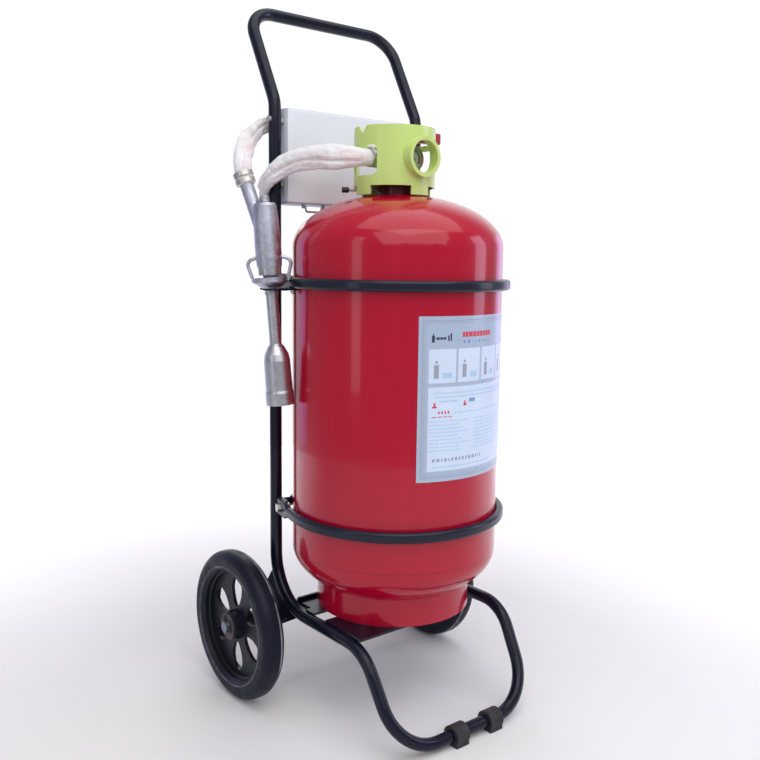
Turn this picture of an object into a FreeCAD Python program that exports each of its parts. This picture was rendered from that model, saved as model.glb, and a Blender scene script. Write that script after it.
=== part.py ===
import FreeCAD, Part
import math
import os

# Wheeled foam fire extinguisher on a bent-tube trolley. Millimetres, +Z up, the operator stands at +Y.
# Every shape is laid out about the cylinder's own axis, then moved back by SHIFT_Y, which puts the
# origin on the floor under the middle of the whole machine.

V = FreeCAD.Vector
UP = V(0, 0, 1)
ALONG_X = V(1, 0, 0)
ALONG_Y = V(0, 1, 0)

# Trolley tube
TUBE_R = 10.0
TUBE_WALL = 2.0
SIDE_X = 148.4
SIDE_Y = 132.2
SPLICE_Z = 900.0
LEAN_Z = 985.0
HANDLE_Y = 215.0
HANDLE_Z = 1140.0
LEAN_BEND = 42.0
HANDLE_BEND = 48.0
RAIL_Z = 156.4
HEEL_BEND = 89.0
RAIL_END_Y = -60.0
TOE_Y = -111.7
TOE_BEND = 66.0
BAR_X = 139.0
BAR_Y = -190.0
BAR_Z = 15.5
BAR_BEND = 80.0

# Rubber feet on the front crossbar
PAD_R = 16.0
PAD_SPANS = ((-38.0, -12.0), (36.0, 62.0))

# Wheels and axle
WHEEL_R = 125.0
WHEEL_X = 212.7
AXLE_Y = 151.9
TYRE_W = 39.0
TYRE_INNER_R = 99.0
TYRE_CORNER = 16.0
AXLE_R = 9.0
AXLE_TUBE_R = 14.0
AXLE_TUBE_HALF = 165.0
AXLE_END_X = 239.5
HUB_R = 25.0
HUB_HALF = 18.0
PIN_R = 1.6
PIN_X = 235.2
PIN_TILT = 40.0
RUN_GAP = 0.05
SPOKE_COUNT = 6

# Cylinder
SHELL_R = 168.9
SHELL_WALL = 3.0
HEAD_H = 84.5
HEAD_LOW_Z = 270.0
HEAD_TOP_Z = 757.0
MOUTH_R = 20.0
SKIRT_R = 126.7
SKIRT_WALL = 3.0
SKIRT_Z = 170.4
NECK_R = 33.0
NECK_TOP = 861.0
LABEL_T = 0.3
LABEL_Z = (412.0, 658.0)
LABEL_ARC = (241.0, 315.0)

# Hoops that hold the cylinder
BAND_T = 12.5
BAND_H = 16.5
BAND_GAP = 0.3
BAND_CORNER = 5.0
BAND_Z = (330.0, 700.9)
TAIL_BAR = 26.0
TAIL_FLAT = 40.0
TAIL_END = 72.0
TAIL_BOLT = 60.0
FLAT_T = 5.0
FLAT_H = 27.0
TAB_START = 48.0

# Support plates
PLATE_T = 4.0
PLATE_TOP = SKIRT_Z

# Valve
VALVE_Z = 895.0
BALL_R = 14.0
PORT_R = 8.0
BODY_R = 21.0
OUTLET_R = 15.0
OUTLET_END = -38.0
SEAT_R = 11.5
NIPPLE_R = 10.5
NIPPLE_END = -64.0
STEM_R = 6.0
LEVER_Z = 929.0
LEVER_T = 5.0
GRIP_END = 83.0
GAUGE_Y = -24.0
GAUGE_R = 19.5
GAUGE_DEPTH = 13.0

# Plastic guard round the valve
GUARD_X = -5.5
GUARD_Y = 4.5
GUARD_R = 64.5
GUARD_WALL = 3.0
GUARD_Z = (838.0, 942.0)

# Hose box
BOX_HALF = 134.0
BOX_Y = (116.0, 170.6)
BOX_Z = (826.0, 975.0)
SHEET = 1.2
BOX_BOLT_Z = (857.5, 957.0)

# Hose
HOSE_R = 13.0
OUTLET_ROUTE = (
    (-42.0, 0.0, 895.0),
    (-72.0, 0.0, 895.0),
    (-100.0, 16.0, 898.0),
    (-122.0, 42.0, 900.0),
    (-141.0, 74.0, 898.0),
    (-163.0, 101.0, 889.0),
    (-181.0, 124.0, 871.0),
    (-179.0, 146.0, 853.0),
    (-156.0, 156.5, 847.0),
    (-132.8, 156.5, 847.0),
)
GUN_ROUTE = (
    (-132.8, 156.5, 954.0),
    (-154.0, 156.5, 951.0),
    (-178.5, 143.5, 936.5),
    (-200.5, 130.0, 921.5),
    (-219.0, 117.0, 903.0),
    (-226.38, 105.38, 875.0),
    (-221.41, 96.86, 848.7),
)
HOSE_OUT_Z = 847.0
HOSE_IN_Z = 954.0
HOSE_Y = 156.5
PACK = ((-115.0, 121.5, 827.2), (115.0, 163.5, 944.0))

# Foam gun, along its own axis from GUN_AT, which is level with the bell's rim
GUN_AT = V(-200.0, 63.4, 705.0)
GUN_LEAN = V(-0.0592, 0.0478, 1.0)
SIDEWAYS = V(-0.778, 0.629, 0.0)
ARM_FROM = V(-204.0, 67.0, 757.0)
ARM_TO = V(-225.8, 104.3, 872.0)
ARM_R = 10.5

BAND_R = SHELL_R + BAND_GAP + BAND_T / 2
BBOX_FRONT = BAR_Y - PAD_R
BBOX_BACK = AXLE_Y + WHEEL_R
SHIFT_Y = -(BBOX_FRONT + BBOX_BACK) / 2


def rod(radius, start, end):
    run = end - start
    return Part.makeCylinder(radius, run.Length, start, run)


def pipe(outer, inner, start, end):
    return rod(outer, start, end).cut(rod(inner, start, end))


def block(low, high):
    size = V(*high) - V(*low)
    return Part.makeBox(size.x, size.y, size.z, V(*low))


def one(shape):
    """The single solid of a boolean's result, with its seams merged."""
    merged = shape.removeSplitter()
    if len(merged.Solids) != 1:
        raise ValueError(f"expected one solid, found {len(merged.Solids)}")
    return merged.Solids[0]


def joined(first, *others):
    return one(first.fuse(list(others)))


def mirrored(shape):
    return shape.mirror(V(0, 0, 0), ALONG_X)


def rounded_wire(points, radii):
    """Straight runs through the points, joined at each inner point by an arc of its radius."""
    edges = []
    start = points[0]
    for i, radius in enumerate(radii, 1):
        back = (points[i - 1] - points[i]).normalize()
        ahead = (points[i + 1] - points[i]).normalize()
        half = back.getAngle(ahead) / 2
        reach = radius / math.tan(half)
        first = points[i] + back * reach
        last = points[i] + ahead * reach
        bisector = (back + ahead).normalize()
        middle = points[i] + bisector * (radius / math.sin(half) - radius)
        edges.append(Part.LineSegment(start, first).toShape())
        edges.append(Part.Arc(first, middle, last).toShape())
        start = last
    edges.append(Part.LineSegment(start, points[-1]).toShape())
    return Part.Wire(edges)


def swept(wire, radius):
    first = wire.Edges[0]
    start = first.Vertexes[0].Point
    ahead = first.Vertexes[1].Point - start
    section = Part.Wire([Part.makeCircle(radius, start, ahead)])
    return one(wire.makePipeShell([section], True, False))


def bent_tube(points, radii):
    wire = rounded_wire(points, radii)
    return one(swept(wire, TUBE_R).cut(swept(wire, TUBE_R - TUBE_WALL)))


def bent_rod(points, radii, radius):
    return swept(rounded_wire(points, radii), radius)


def polygon(points):
    return Part.Face(Part.makePolygon([*points, points[0]]))


def spun(profile, centre, axis, turn=360.0):
    """A solid of revolution from a closed list of (radius, height) points about a vertical axis."""
    face = polygon([V(r, 0, z) for r, z in profile])
    solid = face.revolve(V(0, 0, 0), UP, turn)
    return placed(solid, centre, axis)


def placed(shape, origin, axis):
    """Turn a shape's +Z to the axis and put its origin at the given point."""
    return shape.transformed(FreeCAD.Placement(origin, FreeCAD.Rotation(UP, axis)).Matrix)


def hexagon(across, height, base, axis):
    corner = across / math.sqrt(3)
    angles = [math.radians(60 * k) for k in range(6)]
    ring = [V(corner * math.cos(a), corner * math.sin(a), 0) for a in angles]
    return placed(polygon(ring).extrude(V(0, 0, height)), base, axis)


# ---------------------------------------------------------------- trolley frame


def handle_tube():
    low = V(-SIDE_X, SIDE_Y, SPLICE_Z)
    bend = V(-SIDE_X, SIDE_Y, LEAN_Z)
    top = V(-SIDE_X, HANDLE_Y, HANDLE_Z)
    left = [low, bend, top]
    right = [V(-p.x, p.y, p.z) for p in reversed(left)]
    tube = bent_tube(left + right, [LEAN_BEND, HANDLE_BEND, HANDLE_BEND, LEAN_BEND])
    holes = [rod(3.0, V(s * 130, SIDE_Y, BOX_BOLT_Z[1]), V(s * 165, SIDE_Y, BOX_BOLT_Z[1])) for s in (-1, 1)]
    return one(tube.cut(holes))


def side_tube(side):
    x = side * SIDE_X
    points = [V(x, SIDE_Y, SPLICE_Z), V(x, SIDE_Y, RAIL_Z), V(x, RAIL_END_Y, RAIL_Z)]
    tube = bent_tube(points, [HEEL_BEND])
    hole = rod(3.0, V(side * 130, SIDE_Y, BOX_BOLT_Z[0]), V(side * 165, SIDE_Y, BOX_BOLT_Z[0]))
    return one(tube.cut(hole))


def side_core(side):
    """The side tube filled in, for cutting what is welded against it."""
    x = side * SIDE_X
    points = [V(x, SIDE_Y, SPLICE_Z), V(x, SIDE_Y, RAIL_Z), V(x, RAIL_END_Y, RAIL_Z)]
    return bent_rod(points, [HEEL_BEND], TUBE_R)


def foot_points():
    left = [V(-SIDE_X, RAIL_END_Y, RAIL_Z), V(-SIDE_X, TOE_Y, RAIL_Z), V(-BAR_X, BAR_Y, BAR_Z)]
    right = [V(-p.x, p.y, p.z) for p in reversed(left)]
    return left + right


def foot_tube():
    return bent_tube(foot_points(), [TOE_BEND, BAR_BEND, BAR_BEND, TOE_BEND])


def foot_pads():
    core = bent_rod(foot_points(), [TOE_BEND, BAR_BEND, BAR_BEND, TOE_BEND], TUBE_R)
    below = block((-200, BAR_Y - 40, -40), (200, BAR_Y + 40, 0))
    pads = []
    for low, high in PAD_SPANS:
        sleeve = rod(PAD_R, V(low, BAR_Y, BAR_Z), V(high, BAR_Y, BAR_Z))
        sole = block((low, BAR_Y - 14, 0), (high, BAR_Y + 14, 9))
        pads.append(one(sleeve.fuse(sole).cut(core).cut(below)))
    return Part.makeCompound(pads)


def gusset(side):
    """The plate welded in the heel of the side tube, with a round end for the axle tube."""
    boss = 22.0
    half = 2.5
    axle = V(0, AXLE_Y, WHEEL_R)
    outline = [
        V(0, SIDE_Y, 221), V(0, 146, 204), V(0, 163, 178),
        V(0, AXLE_Y + boss, 146), V(0, AXLE_Y + boss, WHEEL_R),
        V(0, AXLE_Y - 9.5, WHEEL_R - 19.8), V(0, 66, RAIL_Z - 9), V(0, 66, RAIL_Z + 4), V(0, 104, 178),
    ]
    x = side * SIDE_X - half
    plate = polygon(outline).extrude(V(2 * half, 0, 0))
    plate.translate(V(x, 0, 0))
    start = V(x, axle.y, axle.z)
    end = V(x + 2 * half, axle.y, axle.z)
    plate = plate.fuse(rod(boss, start, end))
    return one(plate.cut([side_core(side), rod(AXLE_TUBE_R, start, end)]))


def axle_tube():
    start = V(-AXLE_TUBE_HALF, AXLE_Y, WHEEL_R)
    end = V(AXLE_TUBE_HALF, AXLE_Y, WHEEL_R)
    return pipe(AXLE_TUBE_R, AXLE_R, start, end)


def pin_point(side, distance):
    """A point on the cotter pin's line, which leans back from the upright."""
    lean = math.radians(PIN_TILT)
    return V(side * PIN_X, AXLE_Y + distance * math.sin(lean), WHEEL_R + distance * math.cos(lean))


def axle_rod():
    start = V(-AXLE_END_X, AXLE_Y, WHEEL_R)
    end = V(AXLE_END_X, AXLE_Y, WHEEL_R)
    solid = rod(AXLE_R, start, end)
    holes = [rod(PIN_R, pin_point(side, -20), pin_point(side, 20)) for side in (-1, 1)]
    return one(solid.cut(holes))


def axle_washers():
    """A thin washer outside each hub and a long spacer between each hub and the axle tube."""
    outer = WHEEL_X + HUB_HALF + 0.3
    inner = WHEEL_X - HUB_HALF - 0.3
    rings = []
    for side in (-1, 1):
        for near, far, radius in ((outer, outer + 1.5, 22.0), (AXLE_TUBE_HALF, inner, 13.5)):
            start = V(side * near, AXLE_Y, WHEEL_R)
            rings.append(pipe(radius, AXLE_R, start, V(side * far, AXLE_Y, WHEEL_R)))
    return Part.makeCompound(rings)


def cotter_pins():
    pins = []
    for side in (-1, 1):
        shank = rod(PIN_R, pin_point(side, -14), pin_point(side, 12))
        eye = Part.makeTorus(3.2, 1.5, pin_point(side, 15), ALONG_X)
        pins.append(joined(shank, eye))
    return Part.makeCompound(pins)


def front_support_plate():
    """A plate under the front of the skirt, with its right corner cut away."""
    low = PLATE_TOP - PLATE_T
    x = SIDE_X
    outline = [V(-x, -104, low), V(68, -104, low), V(x, -24, low), V(x, -12, low), V(-x, -12, low)]
    return polygon(outline).extrude(V(0, 0, PLATE_T))


def rear_support_plate():
    """A strip between the rails with a lip turned up along its back edge."""
    low = PLATE_TOP - PLATE_T
    inner = SIDE_X - TUBE_R - 0.1
    strip = block((-inner, 20, low), (inner, 82, PLATE_TOP))
    lip = block((-inner, 78, PLATE_TOP), (inner, 82, PLATE_TOP + 6))
    wing = block((inner, 20, low), (SIDE_X, 42, PLATE_TOP))
    whole = joined(strip, lip, wing, mirrored(wing))
    groove = pipe(SKIRT_R + 0.3, SKIRT_R - SKIRT_WALL - 0.3, V(0, 0, PLATE_TOP), V(0, 0, PLATE_TOP + 10))
    kept = whole.cut(groove)
    return max(kept.Solids, key=lambda s: s.Volume)


# ---------------------------------------------------------------- hoops


def tail_frame():
    """The left tail's axes: its start on the hoop, its direction to the side tube, and outwards."""
    reach = math.hypot(SIDE_X, SIDE_Y)
    angle = math.pi - math.atan2(SIDE_Y, SIDE_X) + math.acos(BAND_R / reach)
    start = V(BAND_R * math.cos(angle), BAND_R * math.sin(angle), 0)
    along = (V(-SIDE_X, SIDE_Y, 0) - start).normalize()
    outward = V(-along.y, along.x, 0)
    return start, along, outward, math.degrees(angle)


def tail_point(along_mm, out_mm, z):
    start, along, outward, _ = tail_frame()
    return start + along * along_mm + outward * out_mm + V(0, 0, z)


def on_tail(shape, z):
    start, along, outward, _ = tail_frame()
    start = start + V(0, 0, z)
    turn = FreeCAD.Rotation(along, outward, UP, "XYZ")
    return shape.transformed(FreeCAD.Placement(start, turn).Matrix)


def rounded_section(thick_low, thick_high, height, corner, x):
    """A rounded rectangle across the tail at distance x, as a wire of four sides and four arcs."""
    lo, hi, half, c = thick_low, thick_high, height / 2, corner
    k = c * (1 - math.sqrt(0.5))
    sides = [
        (V(x, lo + c, -half), V(x, hi - c, -half), V(x, hi - k, -half + k), V(x, hi, -half + c)),
        (V(x, hi, -half + c), V(x, hi, half - c), V(x, hi - k, half - k), V(x, hi - c, half)),
        (V(x, hi - c, half), V(x, lo + c, half), V(x, lo + k, half - k), V(x, lo, half - c)),
        (V(x, lo, half - c), V(x, lo, -half + c), V(x, lo + k, -half + k), V(x, lo + c, -half)),
    ]
    edges = []
    for a, b, mid, end in sides:
        edges.append(Part.LineSegment(a, b).toShape())
        edges.append(Part.Arc(b, mid, end).toShape())
    return Part.Wire(edges)


def hoop_tail(z):
    bar_end = rounded_section(-BAND_T / 2, BAND_T / 2, BAND_H, BAND_CORNER, TAIL_BAR)
    bar_start = rounded_section(-BAND_T / 2, BAND_T / 2, BAND_H, BAND_CORNER, 0)
    flat = rounded_section(0, FLAT_T, FLAT_H, 2.0, TAIL_FLAT)
    bar = Part.makeLoft([bar_start, bar_end], True, True)
    taper = Part.makeLoft([bar_end, flat], True, True)
    ear = Part.Face(flat).extrude(V(TAIL_END - TAIL_FLAT, 0, 0))
    tail = joined(bar, taper, ear)
    hole = rod(4.0, V(TAIL_BOLT, -10, 0), V(TAIL_BOLT, 20, 0))
    return on_tail(one(tail.cut(hole)), z)


def band(z, cradle_hole):
    _, _, _, degrees = tail_frame()
    section = Part.Face(rounded_section(-BAND_T / 2, BAND_T / 2, BAND_H, BAND_CORNER, 0))
    section = on_tail(section, z)
    arc = section.revolve(V(0, 0, 0), UP, 2 * (270 - degrees))
    left = hoop_tail(z)
    whole = joined(arc, left, mirrored(left))
    if cradle_hole:
        top = tail_point(8, 0, z + 20)
        whole = one(whole.cut(rod(2.5, tail_point(8, 0, z - 20), top)))
    return whole


def band_tabs():
    """Ears welded to the side tubes, one for each hoop end."""
    tabs = []
    for z in BAND_Z:
        ear = block((TAB_START, -FLAT_T, -FLAT_H / 2), (92, 0, FLAT_H / 2))
        ear = on_tail(ear.cut(rod(4.0, V(TAIL_BOLT, -10, 0), V(TAIL_BOLT, 20, 0))), z)
        ear = one(ear.cut(side_core(-1)))
        tabs += [ear, mirrored(ear)]
    return Part.makeCompound(tabs)


def band_bolts():
    bolts = []
    for z in BAND_Z:
        head = hexagon(13, 5.3, V(TAIL_BOLT, FLAT_T, 0), ALONG_Y)
        bolt = on_tail(joined(head, rod(4.0, V(TAIL_BOLT, -13, 0), V(TAIL_BOLT, FLAT_T, 0))), z)
        bolts += [bolt, mirrored(bolt)]
    return Part.makeCompound(bolts)


def band_nuts():
    nuts = []
    for z in BAND_Z:
        nut = hexagon(13, 6.5, V(TAIL_BOLT, -FLAT_T - 6.5, 0), ALONG_Y)
        nut = on_tail(one(nut.cut(rod(4.0, V(TAIL_BOLT, -20, 0), V(TAIL_BOLT, 0, 0)))), z)
        nuts += [nut, mirrored(nut)]
    return Part.makeCompound(nuts)


def backrest(z):
    """A bar bent round the back of the cylinder, welded between the side tubes."""
    clearance = 0.6
    inner = SHELL_R + clearance
    outer = inner + 8.0
    half = 8.0
    ends = math.degrees(math.atan2(SIDE_Y, SIDE_X))
    ring = pipe(outer, inner, V(0, 0, z - half), V(0, 0, z + half))
    low = math.radians(ends + 4)
    far = 400.0
    corner = V(far * math.cos(low), far * math.sin(low), z - half)
    wedge = polygon([V(0, 0, z - half), corner, V(0, far, z - half), V(-corner.x, corner.y, z - half)])
    bar = one(ring.common(wedge.extrude(V(0, 0, 2 * half))))
    near = inner + 1.0
    arms = []
    for side in (-1, 1):
        root = V(side * near * math.cos(low + 0.05), near * math.sin(low + 0.05), z)
        tip = V(side * (SIDE_X - 2), SIDE_Y + 2, z)
        arms.append(rod(6.0, root, tip))
    whole = bar.fuse(arms).cut([side_core(-1), side_core(1), Part.makeCylinder(inner, 40, V(0, 0, z - 20))])
    return one(whole)


# ---------------------------------------------------------------- cylinder


def vessel(radius, head, low_z, top_z):
    """A closed vessel shape: straight wall and two semi-elliptical heads."""
    top = Part.Ellipse(V(0, 0, top_z), radius, head)
    low = Part.Ellipse(V(0, 0, low_z), radius, head)
    upright = FreeCAD.Placement(V(0, 0, 0), FreeCAD.Rotation(ALONG_X, 90))
    edges = []
    for ellipse, first, last, z in ((low, -math.pi / 2, 0.0, low_z), (top, 0.0, math.pi / 2, top_z)):
        flat = Part.Ellipse(V(0, 0, 0), radius, head)
        arc = Part.ArcOfEllipse(flat, first, last).toShape()
        arc = arc.transformed(upright.Matrix)
        arc.translate(V(0, 0, z))
        edges.append(arc)
    wall = Part.LineSegment(V(radius, 0, low_z), V(radius, 0, top_z)).toShape()
    axis = Part.LineSegment(V(0, 0, top_z + head), V(0, 0, low_z - head)).toShape()
    wire = Part.Wire(Part.__sortEdges__([edges[0], wall, edges[1], axis]))
    return one(Part.Face(wire).revolve(V(0, 0, 0), UP, 360))


def cylinder_shell():
    outer = vessel(SHELL_R, HEAD_H, HEAD_LOW_Z, HEAD_TOP_Z)
    inner = vessel(SHELL_R - SHELL_WALL, HEAD_H - SHELL_WALL, HEAD_LOW_Z, HEAD_TOP_Z)
    mouth = rod(MOUTH_R, V(0, 0, 800), V(0, 0, 880))
    return one(outer.cut([inner, mouth]))


def foot_skirt():
    top = HEAD_LOW_Z
    ring = pipe(SKIRT_R, SKIRT_R - SKIRT_WALL, V(0, 0, SKIRT_Z), V(0, 0, top))
    ring = ring.cut(vessel(SHELL_R, HEAD_H, HEAD_LOW_Z, HEAD_TOP_Z))
    return max(ring.Solids, key=lambda s: s.Volume)


def neck_ring():
    """The threaded boss welded over the mouth of the shell."""
    ring = pipe(NECK_R, 16.0, V(0, 0, 832), V(0, 0, NECK_TOP))
    ring = ring.cut(vessel(SHELL_R, HEAD_H, HEAD_LOW_Z, HEAD_TOP_Z))
    outer = max(ring.Solids, key=lambda s: s.Volume)
    collar = pipe(MOUTH_R, 16.0, V(0, 0, 834), V(0, 0, 845))
    return joined(outer, collar)


def label():
    first, last = LABEL_ARC
    inner = SHELL_R
    outer = inner + LABEL_T
    low, high = LABEL_Z
    profile = [V(inner, 0, low), V(outer, 0, low), V(outer, 0, high), V(inner, 0, high)]
    solid = polygon(profile).revolve(V(0, 0, 0), UP, last - first)
    return solid.rotated(V(0, 0, 0), UP, first)


def siphon_tube():
    """The dip tube from the valve to just above the bottom of the cylinder."""
    tube = pipe(10.0, 8.0, V(0, 0, 205), V(0, 0, 840))
    cut = block((-20, -20, 200), (20, 0, 212))
    return one(tube.cut(cut))


# ---------------------------------------------------------------- valve


def valve_body():
    """An angle ball valve: inlet from below, outlet to -X, gauge tapping to -Y, stem bore on top."""
    top = 916.0
    thread = rod(16.0, V(0, 0, 840), V(0, 0, 863))
    collar = hexagon(52, 9, V(0, 0, 863), UP)
    barrel = rod(BODY_R, V(0, 0, 872), V(0, 0, top))
    outlet = rod(OUTLET_R, V(0, 0, VALVE_Z), V(OUTLET_END, 0, VALVE_Z))
    flats = hexagon(36, 8, V(OUTLET_END, 0, VALVE_Z), ALONG_X)
    tapping = rod(8.0, V(0, 0, VALVE_Z), V(0, GAUGE_Y, VALVE_Z))
    solid = thread.fuse([collar, barrel, outlet, flats, tapping])
    chamber = Part.makeSphere(BALL_R + 0.5, V(0, 0, VALVE_Z))
    bores = [
        rod(PORT_R, V(0, 0, 830), V(0, 0, VALVE_Z)),
        rod(SEAT_R, V(0, 0, VALVE_Z - 18), V(0, 0, VALVE_Z)),
        rod(PORT_R, V(0, 0, VALVE_Z), V(-60, 0, VALVE_Z)),
        rod(SEAT_R, V(0, 0, VALVE_Z), V(-18, 0, VALVE_Z)),
        rod(2.0, V(0, 0, VALVE_Z), V(0, -60, VALVE_Z)),
        rod(STEM_R + RUN_GAP, V(0, 0, VALVE_Z), V(0, 0, 930)),
    ]
    return one(solid.cut([chamber, *bores]))


def ball_seats():
    """Two plastic rings with hollow faces, one below the ball and one on its outlet side."""
    ball = Part.makeSphere(BALL_R + 0.3, V(0, 0, VALVE_Z))
    far = Part.makeSphere(BALL_R + 0.3 - 6.0, V(0, 0, VALVE_Z))
    low = pipe(SEAT_R, PORT_R, V(0, 0, VALVE_Z - 18), V(0, 0, VALVE_Z - 8.6))
    side = pipe(SEAT_R, PORT_R, V(-18, 0, VALVE_Z), V(-8.6, 0, VALVE_Z))
    return Part.makeCompound([one(seat.cut([ball, far])) for seat in (low, side)])


def inlet_seal():
    return pipe(23.0, 16.0, V(0, 0, NECK_TOP), V(0, 0, 863))


def outlet_nipple():
    """The hose tail: a flange against the valve and a plain spigot that the hose slips over."""
    flange = rod(OUTLET_R, V(OUTLET_END, 0, VALVE_Z), V(OUTLET_END - 3, 0, VALVE_Z))
    spigot = rod(NIPPLE_R, V(OUTLET_END - 3, 0, VALVE_Z), V(NIPPLE_END, 0, VALVE_Z))
    bore = rod(PORT_R, V(OUTLET_END + 1, 0, VALVE_Z), V(NIPPLE_END - 1, 0, VALVE_Z))
    return one(flange.fuse(spigot).cut(bore))


def outlet_hose_clamps():
    hose = hose_solid(OUTLET_ROUTE)
    rings = []
    for x in (-45.0, -55.0):
        ring = pipe(15.0, HOSE_R, V(x, 0, VALVE_Z), V(x - 6, 0, VALVE_Z)).cut(hose)
        rings.append(max(ring.Solids, key=lambda s: s.Volume))
    return Part.makeCompound(rings)


def gland_nut():
    nut = hexagon(26, 6, V(0, 0, 916), UP)
    return one(nut.cut(rod(STEM_R + RUN_GAP, V(0, 0, 900), V(0, 0, 940))))


def ball_tongue():
    return block((-2, -5, 903), (2, 5, 908))


def valve_ball():
    """At rest its side port faces +Y, away from the outlet, so the valve is shut."""
    ball = Part.makeSphere(BALL_R, V(0, 0, VALVE_Z))
    low = rod(PORT_R - 1, V(0, 0, VALVE_Z - 20), V(0, 0, VALVE_Z))
    side = rod(PORT_R - 1, V(0, 0, VALVE_Z), V(0, 20, VALVE_Z))
    flat = block((-20, -20, 907), (20, 20, 920))
    return one(ball.cut([low, side, flat, ball_tongue()]))


def valve_stem():
    shank = rod(STEM_R, V(0, 0, 907), V(0, 0, LEVER_Z + LEVER_T))
    thread = rod(3.0, V(0, 0, LEVER_Z + LEVER_T), V(0, 0, LEVER_Z + LEVER_T + 7))
    return joined(shank, ball_tongue(), thread)


def lever_core():
    arm = block((0, -6, LEVER_Z), (GRIP_END - 8, 6, LEVER_Z + LEVER_T))
    return joined(arm, rod(11.0, V(0, 0, LEVER_Z), V(0, 0, LEVER_Z + LEVER_T)))


def lever_arm():
    return one(lever_core().cut(rod(STEM_R, V(0, 0, 900), V(0, 0, 950))))


def lever_grip():
    sleeve = block((30, -8, LEVER_Z - 4), (GRIP_END, 8, 943))
    sleeve = sleeve.makeFillet(3.0, sleeve.Edges)
    return one(sleeve.cut(lever_core()))


def lever_nut():
    base = LEVER_Z + LEVER_T
    nut = hexagon(10, 5, V(0, 0, base), UP)
    return one(nut.cut(rod(3.0, V(0, 0, base - 1), V(0, 0, base + 9))))


# ---------------------------------------------------------------- gauge


def gauge_case():
    """A round cup on the tapping, open to the front, with a ledge for the dial."""
    back = GAUGE_Y
    front = GAUGE_Y - GAUGE_DEPTH
    cup = rod(GAUGE_R, V(0, back, VALVE_Z), V(0, front, VALVE_Z))
    wide = rod(17.5, V(0, back - 9, VALVE_Z), V(0, front - 1, VALVE_Z))
    deep = rod(15.5, V(0, back - 3, VALVE_Z), V(0, front - 1, VALVE_Z))
    port = rod(2.0, V(0, back + 1, VALVE_Z), V(0, back - 4, VALVE_Z))
    return one(cup.cut([wide, deep, port]))


def gauge_dial():
    back = GAUGE_Y - 9
    return pipe(17.5, 0.85, V(0, back, VALVE_Z), V(0, back - 0.5, VALVE_Z))


def gauge_lens():
    front = GAUGE_Y - GAUGE_DEPTH
    return rod(17.5, V(0, front + 1.2, VALVE_Z), V(0, front + 0.2, VALVE_Z))


def gauge_needle():
    """A thin pointer on a pivot that runs back through the dial. It points up to the left at rest."""
    face = GAUGE_Y - 9.9
    pivot = rod(0.8, V(0, GAUGE_Y - 6, VALVE_Z), V(0, face, VALVE_Z))
    boss = rod(2.2, V(0, face, VALVE_Z), V(0, face - 0.8, VALVE_Z))
    blade = polygon([V(-1.2, face, -5), V(1.2, face, -5), V(0.4, face, 13.5), V(-0.4, face, 13.5)])
    blade = blade.extrude(V(0, -0.5, 0))
    blade = blade.rotated(V(0, 0, 0), ALONG_Y, -60)
    blade.translate(V(0, 0, VALVE_Z))
    return joined(pivot, boss, blade)


# ---------------------------------------------------------------- guard


def radial_window(degrees, width, low, high):
    """A block that cuts a window through one side of the guard."""
    window = block((30, -width / 2, low), (90, width / 2, high))
    window = window.makeFillet(9.0, [e for e in window.Edges if abs(e.tangentAt(e.FirstParameter).x) > 0.99])
    window = window.rotated(V(0, 0, 0), UP, degrees)
    window.translate(V(GUARD_X, GUARD_Y, 0))
    return window


def wall_sector(first, last, low, high):
    """A wedge from the guard's middle, between two angles and two heights."""
    face = polygon([V(40, 0, low), V(90, 0, low), V(90, 0, high), V(40, 0, high)])
    wedge = face.revolve(V(0, 0, 0), UP, last - first).rotated(V(0, 0, 0), UP, first)
    wedge.translate(V(GUARD_X, GUARD_Y, 0))
    return wedge


def valve_guard():
    """A thin plastic drum with a floor clamped under the valve and a round window for the gauge."""
    low, high = GUARD_Z
    wall = pipe(GUARD_R, GUARD_R - GUARD_WALL, V(GUARD_X, GUARD_Y, low), V(GUARD_X, GUARD_Y, high))
    floor = rod(GUARD_R - 1, V(GUARD_X, GUARD_Y, NECK_TOP), V(GUARD_X, GUARD_Y, 863))
    front = GUARD_Y - GUARD_R
    sleeve = rod(30.75, V(GUARD_X, front + 8, VALVE_Z), V(GUARD_X, front - 10, VALVE_Z))
    inside = rod(GUARD_R - GUARD_WALL, V(GUARD_X, GUARD_Y, low), V(GUARD_X, GUARD_Y, high))
    sleeve = sleeve.cut(inside)
    drum = wall.fuse([floor, sleeve])
    cuts = [rod(25.0, V(GUARD_X, GUARD_Y - 40, VALVE_Z), V(GUARD_X, front - 20, VALVE_Z))]
    cuts.append(rod(23.0, V(0, 0, NECK_TOP - 1), V(0, 0, 864)))
    cuts += [radial_window(angle, 56.0, 867, 913) for angle in (0, 90, 180)]
    cuts += [wall_sector(angle - 29.5, angle + 29.5, low - 1, low + 13.5) for angle in (45, 135, 225, 315)]
    cuts.append(wall_sector(-14, 96, 922, high + 1))
    notch = polygon([V(-90, -9.5, high + 0.01), V(-90, 9.5, high + 0.01), V(-90, 0, high - 12)])
    notch = notch.extrude(V(60, 0, 0))
    notch.translate(V(GUARD_X, GUARD_Y, 0))
    cuts.append(notch)
    return one(drum.cut(cuts))


def guard_screws():
    """Two thumb screws that lock the neck, reaching out through the notches under the guard."""
    z = 847.0
    screws = []
    for degrees in (148.5, 31.5):
        out = V(math.cos(math.radians(degrees)), math.sin(math.radians(degrees)), 0)
        centre = V(0, 0, z)
        shank = rod(2.5, centre + out * 30, centre + out * 82)
        knob = rod(4.6, centre + out * 80, centre + out * 91)
        screws.append(one(shank.fuse(knob).cut(rod(NECK_R, V(0, 0, 830), V(0, 0, 870)))))
    return Part.makeCompound(screws)


# ---------------------------------------------------------------- hose box

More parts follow.
